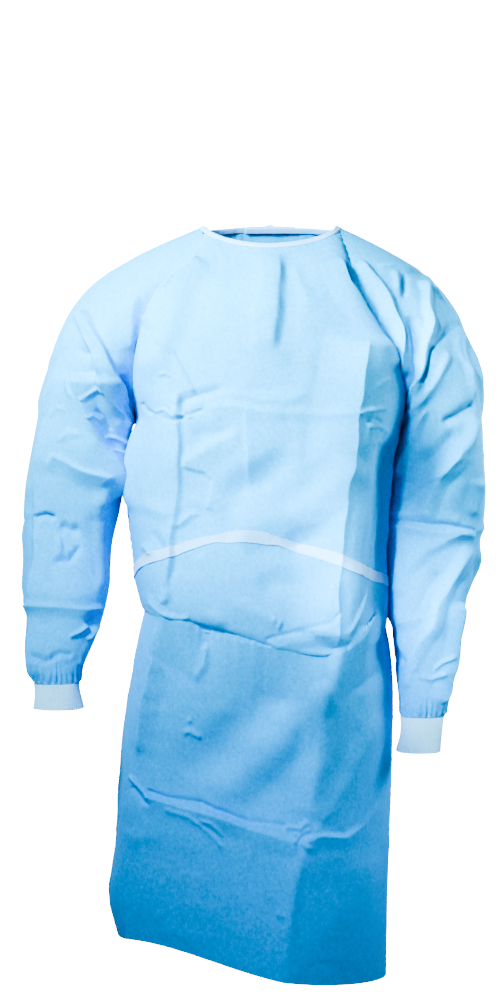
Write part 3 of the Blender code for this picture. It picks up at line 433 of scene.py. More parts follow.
# The neck binding's section in millimetres, from outside the cloth over its edge to the inside: up from
# its lower edge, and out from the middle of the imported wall. One row of stitches holds that edge.
BINDING_SECTION = ((-1.4, 1.25), (-0.6, 1.45), (1.0, 1.5), (3.4, 1.55), (5.6, 1.5), (7.4, 1.2), (8.4, 0.6),
                   (8.7, 0.0), (8.4, -0.6), (7.4, -1.2), (5.6, -1.45), (3.0, -1.5), (0.6, -1.45),
                   (-1.4, -1.25))
BINDING_WALL = 2.0
BINDING_CLOTH = 0.0004
STITCH_PITCH = 0.0042
STITCH_SIZE = (0.0027, 0.0007)
STITCH_UP = 0.0012
STITCH_OUT = 0.0006

TRIM = ("neck_binding", "cuff_right", "cuff_left")

FACING = {"front": (0, -1, 0), "back": (0, 1, 0), "right": (-1, 0, 0), "left": (1, 0, 0)}
ACROSS = {"front": 0, "back": 0, "right": 1, "left": 1}

# Lamps: name, place, aim, size in metres, spread in degrees, power in watts
LAMPS = (
    ("key", (-0.85, -1.02, 0.48), (-0.04, -0.12, -0.15), 0.35, 62, 10.8),
    ("waist", (-0.6, -1.8, -0.20), (-0.03, -0.15, -0.43), 0.10, 15, 0.17),
    ("front", (-0.75, -2.1, 0.3), (0.0, -0.1, -0.35), 0.8, 60, 1.5),
    ("sleeve_high", (-0.45, -1.7, 0.45), (0.33, -0.03, -0.23), 0.10, 11, 0.45),
    ("sleeve_low", (-0.50, -1.7, 0.10), (0.31, 0.0, -0.64), 0.10, 13, 0.72),
    ("hem", (0.5, -1.5, -0.9), (0.10, -0.1, -0.92), 0.3, 22, 0.12),
    ("side_left", (1.5, 0.35, -0.1), (0.25, 0.0, -0.45), 0.5, 50, 2.5),
    ("behind_right", (-1.1, 1.3, 0.3), (0, 0.1, -0.4), 0.9, 100, 7.0),
    ("behind_left", (1.1, 1.3, 0.3), (0, 0.1, -0.4), 0.9, 100, 7.0),
)
ROOM_LIGHT = 0.24  # the white room lights the gown this much, and shows this bright behind it
ROOM_SHOWN = 9.0
FLOOR_LEVEL = -1.57
FLOOR_RADIUS = 1.7
FLOOR_SOLID = 0.5  # the floor fades out from here
FLOOR_GONE = FLOOR_RADIUS - 0.05


def linear(code):
    """An sRGB hex colour as linear red, green, blue and alpha."""
    parts = [int(code[i : i + 2], 16) / 255 for i in (0, 2, 4)]
    return (*(c / 12.92 if c <= 0.04045 else ((c + 0.055) / 1.055) ** 2.4 for c in parts), 1.0)


def add(tree, kind, inputs=(), **settings):
    """Adds a shader node with its settings. An input is a value, or the output that is linked to it."""
    node = tree.nodes.new("ShaderNode" + kind)
    for name, value in settings.items():
        setattr(node, name, value)
    for name, value in dict(inputs).items():
        if isinstance(value, bpy.types.NodeSocket):
            tree.links.new(value, node.inputs[name])
        else:
            node.inputs[name].default_value = value
    return node


def per_mm(size):
    """The texture scale, in metres, at which a pattern repeats about every so many millimetres."""
    return 1 / (size * MM)


def new_material(name):
    """A material, its empty tree, and the place on the piece that its patterns read."""
    material = bpy.data.materials.new(name)
    material.use_nodes = True
    tree = material.node_tree
    tree.nodes.clear()
    return material, tree, add(tree, "TexCoord").outputs["Object"]


def mottled(tree, clouds, dark, light):
    """A colour that wavers between two as the clouds of a noise do."""
    inputs = {"Factor": add(tree, "TexNoise", clouds).outputs["Fac"], 6: linear(dark), 7: linear(light)}
    return add(tree, "Mix", inputs, data_type="RGBA").outputs[2]


def embossed(tree, reliefs):
    """The normal for reliefs that lie one on the other: their height, strength and depth in metres."""
    normal = {}
    for height, strength, depth in reliefs:
        bump = add(tree, "Bump", {"Height": height, "Strength": strength, "Distance": depth} | normal)
        normal = {"Normal": bump.outputs[0]}
    return normal


def shaded(material, tree, inputs):
    """Ends a material in its one shader."""
    shader = add(tree, "BsdfPrincipled", inputs)
    add(tree, "OutputMaterial", {"Surface": shader.outputs[0]})
    return material


def spunbond_nonwoven():
    """SMS polypropylene nonwoven: two spunbonded webs of fine filaments over a meltblown one, bonded at
    small points. It is matt and papery, with cloudy uneven fibre and a faint silvery sheen. The bond
    points, under 1 mm apart on the real cloth, are drawn 3 mm apart to show."""
    material, tree, place = new_material("sms_spunbond_nonwoven")
    # The blue deepens towards the hem and pales towards the chest: painted shade for light that falls off
    # downwards, over the cloth's own blue.
    height = add(tree, "SeparateXYZ", {"Vector": place}).outputs["Z"]
    rise = add(tree, "MapRange", {"Value": height, "From Min": -1.1, "From Max": -0.15},
               interpolation_type="SMOOTHSTEP").outputs["Result"]
    blue_with_painted_falloff = add(tree, "Mix", {"Factor": rise, 6: linear("069af0"), 7: linear("08b1f1")},
                 data_type="RGBA").outputs[2]
    clouds = add(tree, "TexNoise",
                 {"Vector": place, "Scale": per_mm(6), "Detail": 6.0, "Roughness": 0.72}).outputs["Fac"]
    upright = add(tree, "Mapping", {"Vector": place, "Scale": (1.0, 1.0, 0.6)}).outputs[0]
    streaks = add(tree, "TexNoise", {"Vector": upright, "Scale": per_mm(2.4), "Detail": 4.0,
                                     "Roughness": 0.7, "Distortion": 0.6}).outputs["Fac"]
    half = add(tree, "Math", {0: streaks, 1: 0.5}, operation="MULTIPLY").outputs[0]
    fibre = add(tree, "Math", {0: clouds, 1: 0.5, 2: half}, operation="MULTIPLY_ADD").outputs[0]
    shade = add(tree, "MapRange", {"Value": fibre, "From Min": 0.32, "From Max": 0.68,
                                   "To Min": 0.74, "To Max": 1.22}).outputs["Result"]
    colour = add(tree, "VectorMath", {0: blue_with_painted_falloff, "Scale": shade}, operation="SCALE").outputs["Vector"]
    bonds = add(tree, "TexVoronoi", {"Vector": place, "Scale": per_mm(3.0), "Randomness": 0.35},
                feature="F1").outputs["Distance"]
    crumple = add(tree, "TexNoise", {"Vector": place, "Scale": per_mm(46), "Detail": 5.0, "Roughness": 0.6},
                  noise_type="RIDGED_MULTIFRACTAL").outputs["Fac"]
    relief = ((bonds, 0.12, 0.0004), (streaks, 0.25, 0.0006), (crumple, 0.3, 0.0012))
    return shaded(material, tree, {"Base Color": colour, "Roughness": 0.78, "Sheen Weight": 0.02,
                                   "Sheen Roughness": 0.4, "Specular IOR Level": 0.1, "IOR": 1.49}
                  | embossed(tree, relief))


def folded_tape():
    """Nonwoven cut in a strip and folded: paler than the gown, as it lies in several layers."""
    material, tree, place = new_material("folded_nonwoven_tape")
    colour = mottled(tree, {"Vector": place, "Scale": per_mm(5), "Detail": 5.0, "Roughness": 0.65},
                     "54b4fa", "84ccff")
    fibre = add(tree, "TexNoise",
                {"Vector": place, "Scale": per_mm(1.6), "Detail": 4.0, "Roughness": 0.7}).outputs["Fac"]
    return shaded(material, tree, {"Base Color": colour, "Roughness": 0.75, "Sheen Weight": 0.15,
                                   "Sheen Roughness": 0.4, "Specular IOR Level": 0.35, "IOR": 1.49}
                  | embossed(tree, ((fibre, 0.3, 0.0005),)))


def ribbed_knit():
    """Polyester rib knit, bleached white: matt and soft. Its ribs are modelled and its stitches, 1.8 mm
    apart, are in bump."""
    material, tree, place = new_material("bleached_polyester_rib")
    colour = mottled(tree, {"Vector": place, "Scale": per_mm(4), "Detail": 4.0, "Roughness": 0.6},
                     "64c6ff", "9ce0ff")
    rows = add(tree, "TexWave", {"Vector": place, "Scale": per_mm(1.8) / FULL_TURN, "Distortion": 0.5},
               wave_type="BANDS", bands_direction="Z").outputs["Fac"]
    return shaded(material, tree, {"Base Color": colour, "Roughness": 0.9, "Sheen Weight": 0.3,
                                   "Sheen Roughness": 0.5, "Specular IOR Level": 0.2, "IOR": 1.5}
                  | embossed(tree, ((rows, 0.4, 0.0005),)))


def polyester_thread():
    """Spun polyester sewing thread, white: a soft round sheen."""
    material, tree, place = new_material("spun_polyester_thread")
    colour = mottled(tree, {"Vector": place, "Scale": per_mm(0.6), "Detail": 2.0}, "b4dff5", "e6f5fc")
    return shaded(material, tree, {"Base Color": colour, "Roughness": 0.5, "Sheen Weight": 0.2, "IOR": 1.5})


def deselect_all():
    for obj in bpy.context.selected_objects:
        obj.select_set(False)


def connected(faces):
    """Groups of faces that are joined by their edges."""
    left, groups = set(faces), []
    while left:
        group, grow = [], [left.pop()]
        while grow:
            face = grow.pop()
            group.append(face)
            near = [other for edge in face.edges for other in edge.link_faces if other in left]
            left.difference_update(near)
            grow.extend(near)
        groups.append(group)
    return groups


def merged_copy(node):
    bm = bmesh.new()
    bm.from_mesh(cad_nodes[node].data)
    bmesh.ops.remove_doubles(bm, verts=bm.verts[:], dist=MERGE)
    return bm


def put_in_scene(name, data):
    obj = bpy.data.objects.new(name, data)
    bpy.context.scene.collection.objects.link(obj)
    return obj


def as_object(name, bm):
    mesh = bpy.data.meshes.new(name)
    bm.to_mesh(mesh)
    bm.free()
    return put_in_scene(name, mesh)


def outer_skin(name, node, pressed=()):
    """The outside of a packed wall as a new open surface of four-sided faces."""
    bm = merged_copy(node)
    rim = [face for face in bm.faces if min(edge.calc_length() for edge in face.edges) < RIM_LONGEST]
    bmesh.ops.delete(bm, geom=rim, context="FACES")
    skins = sorted(connected(bm.faces[:]), key=lambda group: sum(face.calc_area() for face in group))
    bmesh.ops.delete(bm, geom=[face for group in skins[:-1] for face in group], context="FACES")
    bmesh.ops.join_triangles(bm, faces=bm.faces[:], angle_face_threshold=math.pi,
                             angle_shape_threshold=math.pi, topology_influence=2.0)
    sharpness = bm.edges.layers.float.new("crease_edge")
    for way in pressed:
        near = {v for v in bm.verts if distance_to(way, v.co.x, v.co.z) < PRESSED_NEAR}
        for edge in bm.edges:
            if near.issuperset(edge.verts):
                edge[sharpness] = PRESSED_SHARPNESS
    return as_object(name, bm)


def distance_to(way, x, z):
    """How far a point seen from the front lies from a way in millimetres."""
    flat = np.array([[x, z]])
    return float(min(to_segment(flat, np.array(a) * MM, np.array(b) * MM)[0][0]
                     for a, b in zip(way[:-1], way[1:])))


def to_segment(flat, start, end):
    """For points of a plane: distance to a segment, place along it, and whether they are on its left."""
    length = np.linalg.norm(end - start)
    ahead = (end - start) / length
    offset = flat - start
    share = np.clip(offset @ ahead, 0, length)
    gap = offset - share[:, None] * ahead
    on_left = ahead[0] * offset[:, 1] - ahead[1] * offset[:, 0] > 0
    return np.hypot(gap[:, 0], gap[:, 1]), share, on_left


def apply_modifier(obj, kind, **settings):
    """Adds a modifier with these settings and applies it."""
    deselect_all()
    obj.select_set(True)
    bpy.context.view_layer.objects.active = obj
    modifier = obj.modifiers.new(kind.title(), kind)
    for name, value in settings.items():
        setattr(modifier, name, value)
    bpy.ops.object.modifier_apply(modifier=modifier.name)


def subdivide(obj, levels, boundary="PRESERVE_CORNERS"):
    apply_modifier(obj, "SUBSURF", levels=levels, render_levels=levels, boundary_smooth=boundary)


def thicken(obj, thickness):
    apply_modifier(obj, "SOLIDIFY", thickness=thickness, offset=-1.0)


def points_of(mesh):
    points = np.empty(len(mesh.vertices) * 3, np.float32)
    mesh.vertices.foreach_get("co", points)
    return points.reshape(-1, 3).astype(float)


def normals_of(mesh):
    normals = np.empty(len(mesh.vertices) * 3, np.float32)
    mesh.vertex_normals.foreach_get("vector", normals)
    return normals.reshape(-1, 3).astype(float)


def surface_of(obj):
    return points_of(obj.data), normals_of(obj.data)


def put_points(obj, points):
    obj.data.vertices.foreach_set("co", points.astype(np.float32).ravel())
    obj.data.update()


def move_out(obj, rise):
    """Moves each point outwards by its own rise."""
    points, normals = surface_of(obj)
    put_points(obj, points + normals * rise[:, None])


def middle_and_half(points):
    """The middle of the box round these points, and half its size."""
    high, low = points.max(axis=0), points.min(axis=0)
    return (high + low) / 2, (high - low) / 2


def tree_of(places):
    """A search tree of places, each with its number."""
    tree = KDTree(len(places))
    for i, place in enumerate(places):
        tree.insert(place, i)
    tree.balance()
    return tree


def smooth_step(value):
    value = np.clip(value, 0, 1)
    return value * value * (3 - 2 * value)


def waves(points, size, seed):
    """Slow uneven values from about -1 to 1 over the plane, one turn about every size."""
    rng = np.random.default_rng(seed)
    total = np.zeros(len(points))
    for _ in range(5):
        angle, phase, stretch = rng.uniform(0, FULL_TURN), rng.uniform(0, FULL_TURN), rng.uniform(0.7, 1.4)
        way = np.array([math.cos(angle), math.sin(angle)]) * 2 * math.pi / (size * stretch)
        total += np.sin(points @ way + phase)
    return total / 2.5


def crease_rise(flat, crease, unit):
    """How far the crease lifts each point of the plane that it is drawn in."""
    way = np.array(crease.way, float) * unit
    nearest = np.full(len(flat), np.inf)
    reach, along = np.ones(len(flat)), np.zeros(len(flat))
    passed = 0.0
    for start, end in zip(way[:-1], way[1:]):
        distance, share, on_left = to_segment(flat, start, end)
        closer = distance < nearest
        nearest = np.where(closer, distance, nearest)
        reach = np.where(closer, np.where(on_left, crease.left, crease.right) * unit, reach)
        along = np.where(closer, passed + share, along)
        passed += np.linalg.norm(end - start)
    fall = np.clip(1 - nearest / reach, 0, 1)
    if crease.height * unit >= PRESSED_FROM:
        profile = fall**PRESSED_PROFILE
    elif min(crease.left, crease.right) * unit < SHARP_UNDER:
        profile = fall**SHARP_PROFILE
    else:
        profile = smooth_step(fall)
    ends = crease.ends * unit
    fade = smooth_step(along / ends) * smooth_step((passed - along) / ends)
    return crease.height * unit * profile * fade


def wander_of(flat, seed):
    """How far a crease strays from its way at each point: a hand-laid fold is never quite straight."""
    return WANDER * np.stack([waves(flat, WANDER_TURN, seed), waves(flat, WANDER_TURN, seed + 1)], axis=1)


def refined(obj, creases, seed, reach):
    """Halves the faces along these creases, as far as this reach, so that they come out crisp."""
    points, normals = surface_of(obj)
    near = np.zeros(len(points), bool)
    for side, facing in FACING.items():
        seen = np.flatnonzero(normals @ np.array(facing) > TURNED_LEAST)
        flat = points[seen][:, [ACROSS[side], 2]]
        flat = flat + wander_of(flat, seed)
        for crease in creases[side]:
            ridge = crease._replace(height=1, left=reach, right=reach, ends=1)
            near[seen[crease_rise(flat, ridge, MM) > 0]] = True
    bm = bmesh.new()
    bm.from_mesh(obj.data)
    bm.verts.ensure_lookup_table()
    crossed = {edge for face in bm.faces if any(near[v.index] for v in face.verts) for edge in face.edges}
    bmesh.ops.subdivide_edges(bm, edges=list(crossed), cuts=1, use_grid_fill=True)
    bm.to_mesh(obj.data)
    bm.free()


def crumples(seed, low, high):
    """Small random creases in the box that a side of the piece fills, the same ones each time."""
    rng = np.random.default_rng(seed)
    found = []
    for _ in range(int(float(np.prod(high - low)) * CRUMPLES_PER_M2)):
        start = rng.uniform(low, high)
        angle, length = rng.uniform(0, math.pi), rng.uniform(*CRUMPLE_LENGTH)
        bend = rng.uniform(-CRUMPLE_BEND, CRUMPLE_BEND)
        middle = start + np.array([math.cos(angle), math.sin(angle)]) * length / 2
        end = middle + np.array([math.cos(angle + bend), math.sin(angle + bend)]) * length / 2
        height = rng.uniform(*CRUMPLE_HEIGHT) * rng.choice([-1, 1, 1])  # two of three stand out
        left, right = rng.uniform(*CRUMPLE_REACH, size=2)
        found.append(Crease(height, left, right, length / 3, (start, middle, end)))
    return found


def creased(obj, creases, seed, is_free):
    """Puts the creases and small crumples into the cloth; its sewn edges stay where they are."""
    points, normals = surface_of(obj)
    rise = np.zeros(len(points))
    for number, (side, facing) in enumerate(FACING.items()):
        turned = np.clip(normals @ np.array(facing) * TURNED_GAIN, 0, 1)
        seen = turned > 0
        if not seen.any():
            continue
        flat = points[seen][:, [ACROSS[side], 2]]
        wander = wander_of(flat, seed)
        uneven = 1 + UNEVEN * waves(flat, UNEVEN_TURN, seed + 2)
        low, high = BACK_BOX if side == "back" else (flat.min(axis=0), flat.max(axis=0))
        total = np.zeros(len(flat))
        for crease in creases[side]:
            total += crease_rise(flat + wander, crease, MM) * uneven
        for crease in crumples(seed + 10 * number, low, high):
            total += crease_rise(flat, crease, 1.0)
        rise[seen] += total * turned[seen]
    away = from_edges(obj, points, is_free)
    patchy = 0.5 + 0.5 * waves(points[:, [0, 2]] + points[:, [1, 1]], 0.11, seed + 5)
    pucker = np.sin(2 * math.pi * points @ np.array(PUCKER_WAY) / PUCKER_PITCH + 3 * patchy)
    rise = rise * smooth_step(away / SEAM_EASE)
    rise += PUCKER * pucker * smooth_step(away / PUCKER_FROM) * smooth_step(1 - away / PUCKER_TO) * patchy
    rise -= SEAM_VALLEY * np.exp(-((away / SEAM_VALLEY_REACH) ** 2)) * away_from_trim(points)
    move_out(obj, rise)


def closed_under_overhang(obj):
    """Brings the skirt forward under the overhang's edge, so that no deep slot is left between them."""
    points = points_of(obj.data)
    across, depth, height = points.T
    edge = np.array(OVERHANG_EDGE) * MM
    first, last = edge[0, 0], edge[-1, 0]
    below = np.interp(across, edge[:, 0], edge[:, 1]) - height
    in_front = (depth < FRONT_BEFORE) & (across > first) & (across < last)
    lip, skirt = [], []
    stations = np.arange(first + STATION_STEP, last, STATION_STEP)
    for station in stations:
        strip = in_front & (np.abs(across - station) < STATION_REACH)
        lip.append(depth[strip & (np.abs(below + LIP_ABOVE) < LIP_REACH)].min())
        skirt.append(depth[strip & (np.abs(below - SKIRT_RISE) < STATION_REACH)].mean())
    lip_depth, skirt_depth = (np.interp(across, stations, depths) for depths in (lip, skirt))
    share = np.clip(below / SKIRT_RISE, 0, 1)
    wanted = (lip_depth + OVERHANG_STEP) * (1 - share) + skirt_depth * share
    ends = smooth_step((across - first) / OVERHANG_ENDS) * smooth_step((last - across) / OVERHANG_ENDS)
    pulled = in_front & (below > -LIP_BEHIND) & (below < SKIRT_RISE) & (depth > wanted)
    points[pulled, 1] += ((wanted - depth) * ends)[pulled]
    put_points(obj, points)


def away_from_trim(points):
    """From 0 at the neck binding and the cuffs to 1 further off."""
    tree = tree_of([vertex.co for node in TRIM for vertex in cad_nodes[node].data.vertices])
    return smooth_step(np.array([tree.find(point)[2] for point in points]) / TRIM_EASE - TRIM_CLEAR)


def hangs_at_hem(place):
    return place.z < HEM_BELOW


def hangs_at_back(place):
    return hangs_at_hem(place) or abs(place.x) < BACK_OPENING


def not_back_edge(place):
    return abs(place.x) > BACK_OPENING or place.z > NECK_ABOVE


def nowhere(_place):
    return False


def from_edges(obj, points, is_free=nowhere):
    """How far each point lies from the edges, apart from those that hang free."""
    bm = bmesh.new()
    bm.from_mesh(obj.data)
    tree = tree_of([v.co.copy() for v in bm.verts if v.is_boundary and not is_free(v.co)])
    bm.free()
    return np.array([tree.find(point)[2] for point in points])


def finish_piece(obj, material, node=None):
    """Gives a piece its material, slot and body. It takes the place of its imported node, if it has one."""
    obj.data.materials.clear()
    obj.data.materials.append(material)
    obj.data.shade_smooth()
    if node:
        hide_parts(node)
    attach(obj, "root")


# The cut panels: their visible name, creases by side, seed, where they hang free, flat size in metres
PANELS = {
    "front_panel": ("front_cloth", FRONT_CREASES, 11, hangs_at_hem, (0.56, 1.17)),
    "back_right_panel": ("back_right_cloth", BACK_CREASES, 23, hangs_at_back, (0.36, 1.15)),
    "back_left_panel": ("back_left_cloth", BACK_CREASES, 23, hangs_at_back, (0.36, 1.15)),
    "sleeve_right": ("sleeve_right_cloth", SLEEVE_RIGHT_CREASES, 41, nowhere, (0.46, 0.72)),
    "sleeve_left": ("sleeve_left_cloth", SLEEVE_LEFT_CREASES, 53, nowhere, (0.46, 0.78)),
}


def cloth_panels(material):
    """Makes each panel a creased sheet on its solid's outer form. Gives back search trees of the front
    and backs, which the tapes lie on."""
    made = {}
    for node, (name, table, seed, is_free, _) in PANELS.items():
        obj = made[node] = outer_skin(name, node, PRESSED if node == "front_panel" else ())
        subdivide(obj, 3)
        creases, high, crisp = {}, {}, {}
        for side in FACING:
            rows = creases[side] = [Crease(*row) for row in table.get(side, ())]
            high[side] = [row for row in rows if row.height * MM >= PRESSED_FROM]
            crisp[side] = high[side] + [row for row in rows if min(row.left, row.right) <= CRISP_UNDER]
        refined(obj, crisp, seed, CRISP_REACH)
        refined(obj, high, seed, PRESSED_REACH)
        creased(obj, creases, seed, is_free)
        if node == "front_panel":
            closed_under_overhang(obj)
        if node in SLEEVE_ENDS:
            gathered(obj, SLEEVE_ENDS[node])
    closed_seams(list(made.values()))
    lap_laid_flat(made["back_right_panel"])
    trees = []
    for (node, obj), (*_, flat) in zip(made.items(), PANELS.values()):
        trees.append(BVHTree.FromPolygons([v.co.copy() for v in obj.data.vertices],
                                          [tuple(p.vertices) for p in obj.data.polygons]))
        finish_piece(obj, material, node)
    return trees[:3]


def lap_laid_flat(obj):
    """Lays the free edge of the outer back on the one below it."""
    points = points_of(obj.data)
    near = (np.abs(points[:, 0]) < LAP_NEAR) & (points[:, 2] < NECK_ABOVE)
    weight = smooth_step(1 - from_edges(obj, points, not_back_edge) / LAP_LAID) * near
    move_out(obj, -LAP_DROP * weight)


def closed_seams(panels):
    """Draws the sewn edges of neighbouring panels together, with the cloth beside them."""
    rims, outlines = [], []
    for obj in panels:
        bm = bmesh.new()
        bm.from_mesh(obj.data)
        rims.append(np.array([v.index for v in bm.verts if v.is_boundary]))
        outlines.append([edge.verts[0].co.lerp(edge.verts[1].co, step / SEAM_STEPS)
                         for edge in bm.edges if edge.is_boundary for step in range(SEAM_STEPS)])
        bm.free()
    drawn = []
    for number, (obj, rim) in enumerate(zip(panels, rims)):
        others = tree_of([place for other, outline in enumerate(outlines) if other != number
                          for place in outline])
        points = points_of(obj.data)
        found = [others.find(points[i]) for i in rim]
        gap = np.array([distance for _, _, distance in found])
        shift = np.array([place for place, _, _ in found]) - points[rim]
        shift *= (SEAM_SHARE * smooth_step((SEAM_NEAR - gap) / SEAM_NEAR_SOFT))[:, None]
        own = tree_of(points[rim])
        near = [own.find(point) for point in points]
        weight = smooth_step(1 - np.array([distance for _, _, distance in near]) / SEAM_DRAW)
        drawn.append(points + shift[[i for _, i, _ in near]] * weight[:, None])
    for obj, points in zip(panels, drawn):
        put_points(obj, points)


def gathered(obj, end):
    """Gathers that run up the sleeve from the cuff and die out, uneven all round."""
    points, normals = surface_of(obj)
    above = points[:, 2] - end[2]
    near = above < GATHER_REACH * 1.4
    angle = np.arctan2(points[near, 1] - end[1], points[near, 0] - end[0])
    uneven = 1 + 0.5 * np.sin(3 * angle + 1.2) + 0.3 * np.sin(7 * angle)
    wave = np.sin(GATHERS * angle + 1.1 * np.sin(5 * angle) + 14 * above[near])
    reach = GATHER_REACH * (0.75 + 0.35 * np.sin(5 * angle + 2))
    fade = smooth_step(above[near] / GATHER_EASE) * smooth_step(1 - above[near] / reach)
    points[near] += normals[near] * (GATHER_HEIGHT * uneven * wave * fade)[:, None]
    put_points(obj, points)


def cuffs(material):
    """Knitted tubes with ribs that run down them."""
    for node, flat in (("cuff_right", (0.21, 0.042)), ("cuff_left", (0.20, 0.060))):
        obj = outer_skin(node + "_knit", node)
        subdivide(obj, 4)
        points = points_of(obj.data)
        middle, half = middle_and_half(points)
        up = points[:, 2]
        depth = points[:, 1] - np.polyval(np.polyfit(up, points[:, 1], 1), up)
        angle = np.arctan2(depth / half[1], (points[:, 0] - middle[0]) / half[0])
        ribs = np.abs(np.cos(RIBS / 2 * angle)) ** RIB_ROUNDNESS
        ripple = sum(height * np.sin(turns * angle + up / rise) for height, turns, rise in CUFF_RIPPLES)
        move_out(obj, RIB_HEIGHT * (ribs - RIB_MIDDLE) + ripple)
        thicken(obj, CUFF_THICK)
        finish_piece(obj, material, node)


def laid_on(trees, points, normals, lift):
    """Lays points on the cloth below them, this far off it."""
    laid = points.copy()
    for i, (point, normal) in enumerate(zip(points, normals)):
        start, way = Vector(point + normal * TAPE_RAY), Vector(-normal)
        hits = [tree.ray_cast(start, way, 2 * TAPE_RAY) for tree in trees]
        hits = [hit for hit in hits if hit[0] is not None]
        if hits:
            nearest = min(hits, key=lambda hit: hit[3])
            laid[i] = np.array(nearest[0]) + normal * lift[i]
    return laid


def ribbon(node, material, trees, lift, weld=False):
    """Folded tape that lies on the cloth: thicker along its edges, a little uneven."""
    obj = outer_skin(node + "_tape", node)
    subdivide(obj, 5 if weld else 4)
    points, normals = surface_of(obj)
    away = from_edges(obj, points)
    rise = TAPE_EDGE * smooth_step(1 - away / TAPE_EDGE_REACH)
    if weld:
        flat = points[:, [0, 2]] @ np.array([[1, 1], [1, -1]]) * math.pi / WELD_PITCH / math.sqrt(2)
        diamonds = np.abs(np.sin(flat[:, 0])) * np.abs(np.sin(flat[:, 1]))
        rise += WELD_HEIGHT * diamonds * smooth_step(away / WELD_EASE)
    else:
        rise += TAPE_UNEVEN * waves(points[:, [0, 2]], TAPE_UNEVEN_TURN, 7)
    height = np.full(len(points), lift + TAPE_THICK) + rise
    put_points(obj, laid_on(trees, points, normals, height))
    thicken(obj, TAPE_THICK)
    finish_piece(obj, material, node)


def knot(node, material, spread):
    """A flat knot of tape: the wraps cross it at a slant and pull in at its sides."""
    bm = merged_copy(node)
    bmesh.ops.join_triangles(bm, faces=bm.faces[:], angle_face_threshold=0.6, angle_shape_threshold=math.pi)
    obj = as_object(node + "_tape", bm)
    subdivide(obj, 4, "ALL")
    points = points_of(obj.data)
    middle, half = middle_and_half(points)
    across, _, up = ((points - middle) / half).T
    wraps = np.abs(np.sin(math.pi * (1.1 * across + 0.9 * up))) ** 0.5
    cross = smooth_step(1 - np.abs(across - 0.25 * up) / 0.3)
    move_out(obj, spread * (0.5 * wraps - 0.5 + 0.9 * cross))
    finish_piece(obj, material, node)


def edge_from(start, edge):
    """The vertices of a strip's edge, from one of its corners to the next."""
    chain = [start]
    while True:
        chain.append(edge.other_vert(chain[-1]))
        if len(chain[-1].link_edges) == 2:
            return chain
        edge = next(e for e in chain[-1].link_edges if e.is_boundary and e is not edge)


def long_edges(bm):
    """The two long edges of a strip, each as its vertices in order, both in the same direction."""
    start = max((v for v in bm.verts if len(v.link_edges) == 2), key=lambda v: v.co.z)
    short, upper = sorted((edge_from(start, edge) for edge in start.link_edges), key=len)
    corner = short[-1]
    return upper, edge_from(corner, next(e for e in corner.link_edges if short[-2] not in e.verts))


def neck_binding(material, thread):
    """Tape folded over the neck edge, held by one row of stitches along its lower edge."""
    skin = outer_skin("binding_skin", "neck_binding")
    subdivide(skin, 3)
    bm = bmesh.new()
    bm.from_mesh(skin.data)
    normals = normals_of(skin.data)
    upper, lower = long_edges(bm)
    edge = np.array([v.co for v in lower])
    rise = np.array([v.co for v in upper]) - edge
    out = np.array([normals[a.index] + normals[b.index] for a, b in zip(upper, lower)])
    bm.free()
    bpy.data.objects.remove(skin)
    out /= np.linalg.norm(out, axis=1, keepdims=True)
    rise /= np.linalg.norm(rise, axis=1, keepdims=True)
    slack = 1 + 0.10 * waves(edge[:, :2], 0.020, 3) + 0.06 * waves(edge[:, :2], 0.009, 4)
    bm = bmesh.new()
    rows = []
    for up, off in BINDING_SECTION:
        places = edge + rise * (up * MM) + out * ((off * slack - BINDING_WALL / 2) * MM)[:, None]
        rows.append([bm.verts.new(place) for place in places])
    for row, above in zip(rows[:-1], rows[1:]):
        for i in range(len(row) - 1):
            bm.faces.new((row[i], row[i + 1], above[i + 1], above[i]))
    bm.faces.ensure_lookup_table()
    bm.faces[0].normal_update()
    if bm.faces[0].normal.dot(Vector(out[0])) < 0:
        bmesh.ops.reverse_faces(bm, faces=bm.faces[:])
    obj = as_object("neck_binding_tape", bm)
    subdivide(obj, 1)
    thicken(obj, BINDING_CLOTH)
    finish_piece(obj, material, "neck_binding")
    stitches(edge + rise * STITCH_UP + out * STITCH_OUT, out, thread)


def stitches(line, outs, thread):
    """One row of sewn stitches along a line, made once and copied."""
    way = np.concatenate([[0], np.cumsum(np.linalg.norm(np.diff(line, axis=0), axis=1))])
    places = np.arange(STITCH_PITCH, way[-1] - STITCH_PITCH, STITCH_PITCH)
    at, ahead, out = (np.stack([np.interp(there, way, values[:, k]) for k in range(3)], axis=1)
                      for there, values in ((places, line), (places + MM, line), (places, outs)))
    deselect_all()
    bpy.ops.mesh.primitive_uv_sphere_add(segments=8, ring_count=6, radius=0.5)
    one = bpy.context.object
    length, thick = STITCH_SIZE
    for place, forward, facing in zip(at, ahead - at, out):
        copy = put_in_scene("stitch", one.data.copy())
        x, z = Vector(forward).normalized(), Vector(facing).normalized()
        y = z.cross(x).normalized()
        for vertex in copy.data.vertices:
            a, b, c = vertex.co
            vertex.co = Vector(place) + x * a * length + y * b * thick + z * c * thick
        copy.select_set(True)
        bpy.context.view_layer.objects.active = copy
    bpy.data.objects.remove(one)
    bpy.ops.object.join()
    obj = bpy.context.object
    obj.name = "neck_binding_stitches"
    finish_piece(obj, thread)


def camera():
    data = bpy.data.cameras.new("camera")
    data.sensor_fit = "VERTICAL"
    data.sensor_height = SENSOR_MM
    data.lens = SENSOR_MM * FOCAL_PX / PICTURE_HEIGHT_PX
    obj = put_in_scene("camera", data)
    obj.location = CAMERA_PLACE
    obj.rotation_euler = (math.radians(90), 0, 0)
    bpy.context.scene.camera = obj


def lamp(name, place, aim, size, spread, power):
    data = bpy.data.lights.new(name, "AREA")
    data.shape = "DISK"
    data.size = size
    data.spread = math.radians(spread)
    data.energy = power
    obj = put_in_scene(name, data)
    obj.location = place
    obj.rotation_euler = (Vector(aim) - Vector(place)).to_track_quat("-Z", "Y").to_euler()


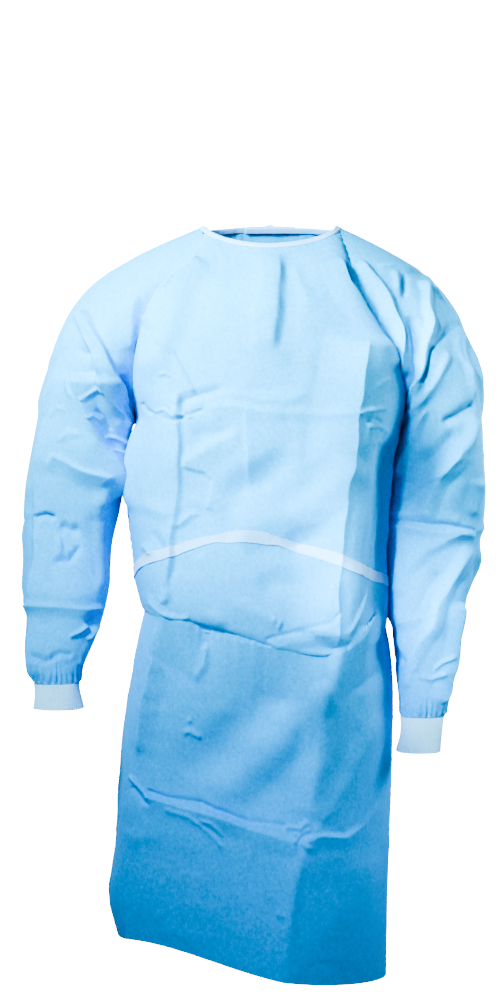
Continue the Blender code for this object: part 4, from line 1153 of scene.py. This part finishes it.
def studio():
    """A white room: a near key lamp, small weak ones for the waist, left sleeve and hem, large behind."""
    scene = bpy.context.scene
    scene.view_settings.view_transform = "AgX"
    scene.view_settings.look = "AgX - High Contrast"
    for row in LAMPS:
        lamp(*row)
    world = bpy.data.worlds.new("studio")
    world.use_nodes = True
    tree = world.node_tree
    tree.nodes.clear()
    path = add(tree, "LightPath").outputs["Is Camera Ray"]
    strength = add(tree, "MapRange", {"Value": path, "To Min": ROOM_LIGHT, "To Max": ROOM_SHOWN}).outputs[0]
    background = add(tree, "Background", {"Color": (1, 1, 1, 1), "Strength": strength})
    add(tree, "OutputWorld", {"Surface": background.outputs[0]})
    scene.world = world
    floor()


def floor():
    """A pale round floor that fades out towards its edge."""
    deselect_all()
    bpy.ops.mesh.primitive_circle_add(vertices=96, radius=FLOOR_RADIUS, fill_type="NGON",
                                      location=(0, 0, FLOOR_LEVEL))
    obj = bpy.context.object
    obj.name = "floor"
    material, tree, place = new_material("matt_white_paint")
    distance = add(tree, "VectorMath", {0: place}, operation="LENGTH").outputs["Value"]
    away = add(tree, "MapRange", {"Value": distance, "From Min": FLOOR_SOLID, "From Max": FLOOR_GONE},
               interpolation_type="SMOOTHSTEP").outputs["Result"]
    paint = add(tree, "BsdfPrincipled", {"Base Color": linear("f4f6f8"), "Roughness": 0.9})
    clear = add(tree, "BsdfTransparent")
    mix = add(tree, "MixShader", {0: away, 1: paint.outputs[0], 2: clear.outputs[0]})
    add(tree, "OutputMaterial", {"Surface": mix.outputs[0]})
    obj.data.materials.append(material)


for old in list(bpy.data.objects):
    bpy.data.objects.remove(old)
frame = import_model()
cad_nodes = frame["nodes"]

cloth, tape, knit = spunbond_nonwoven(), folded_tape(), ribbed_knit()
thread = polyester_thread()
trees = cloth_panels(cloth)
cuffs(knit)
neck_binding(tape, thread)
for node, lift in (("belt_right", BELT_LIFT), ("belt_left", BELT_LIFT), ("belt_tail_right", FREE_END_LIFT),
                   ("belt_tail_left", FREE_END_LIFT), ("neck_tail_right", FREE_END_LIFT),
                   ("neck_tail_left", FREE_END_LIFT)):
    ribbon(node, tape, trees, lift)
ribbon("belt_middle", tape, trees, 0.0, weld=True)
knot("belt_knot", tape, BELT_KNOT_SPREAD)
knot("neck_knot", tape, NECK_KNOT_SPREAD)
camera()
studio()
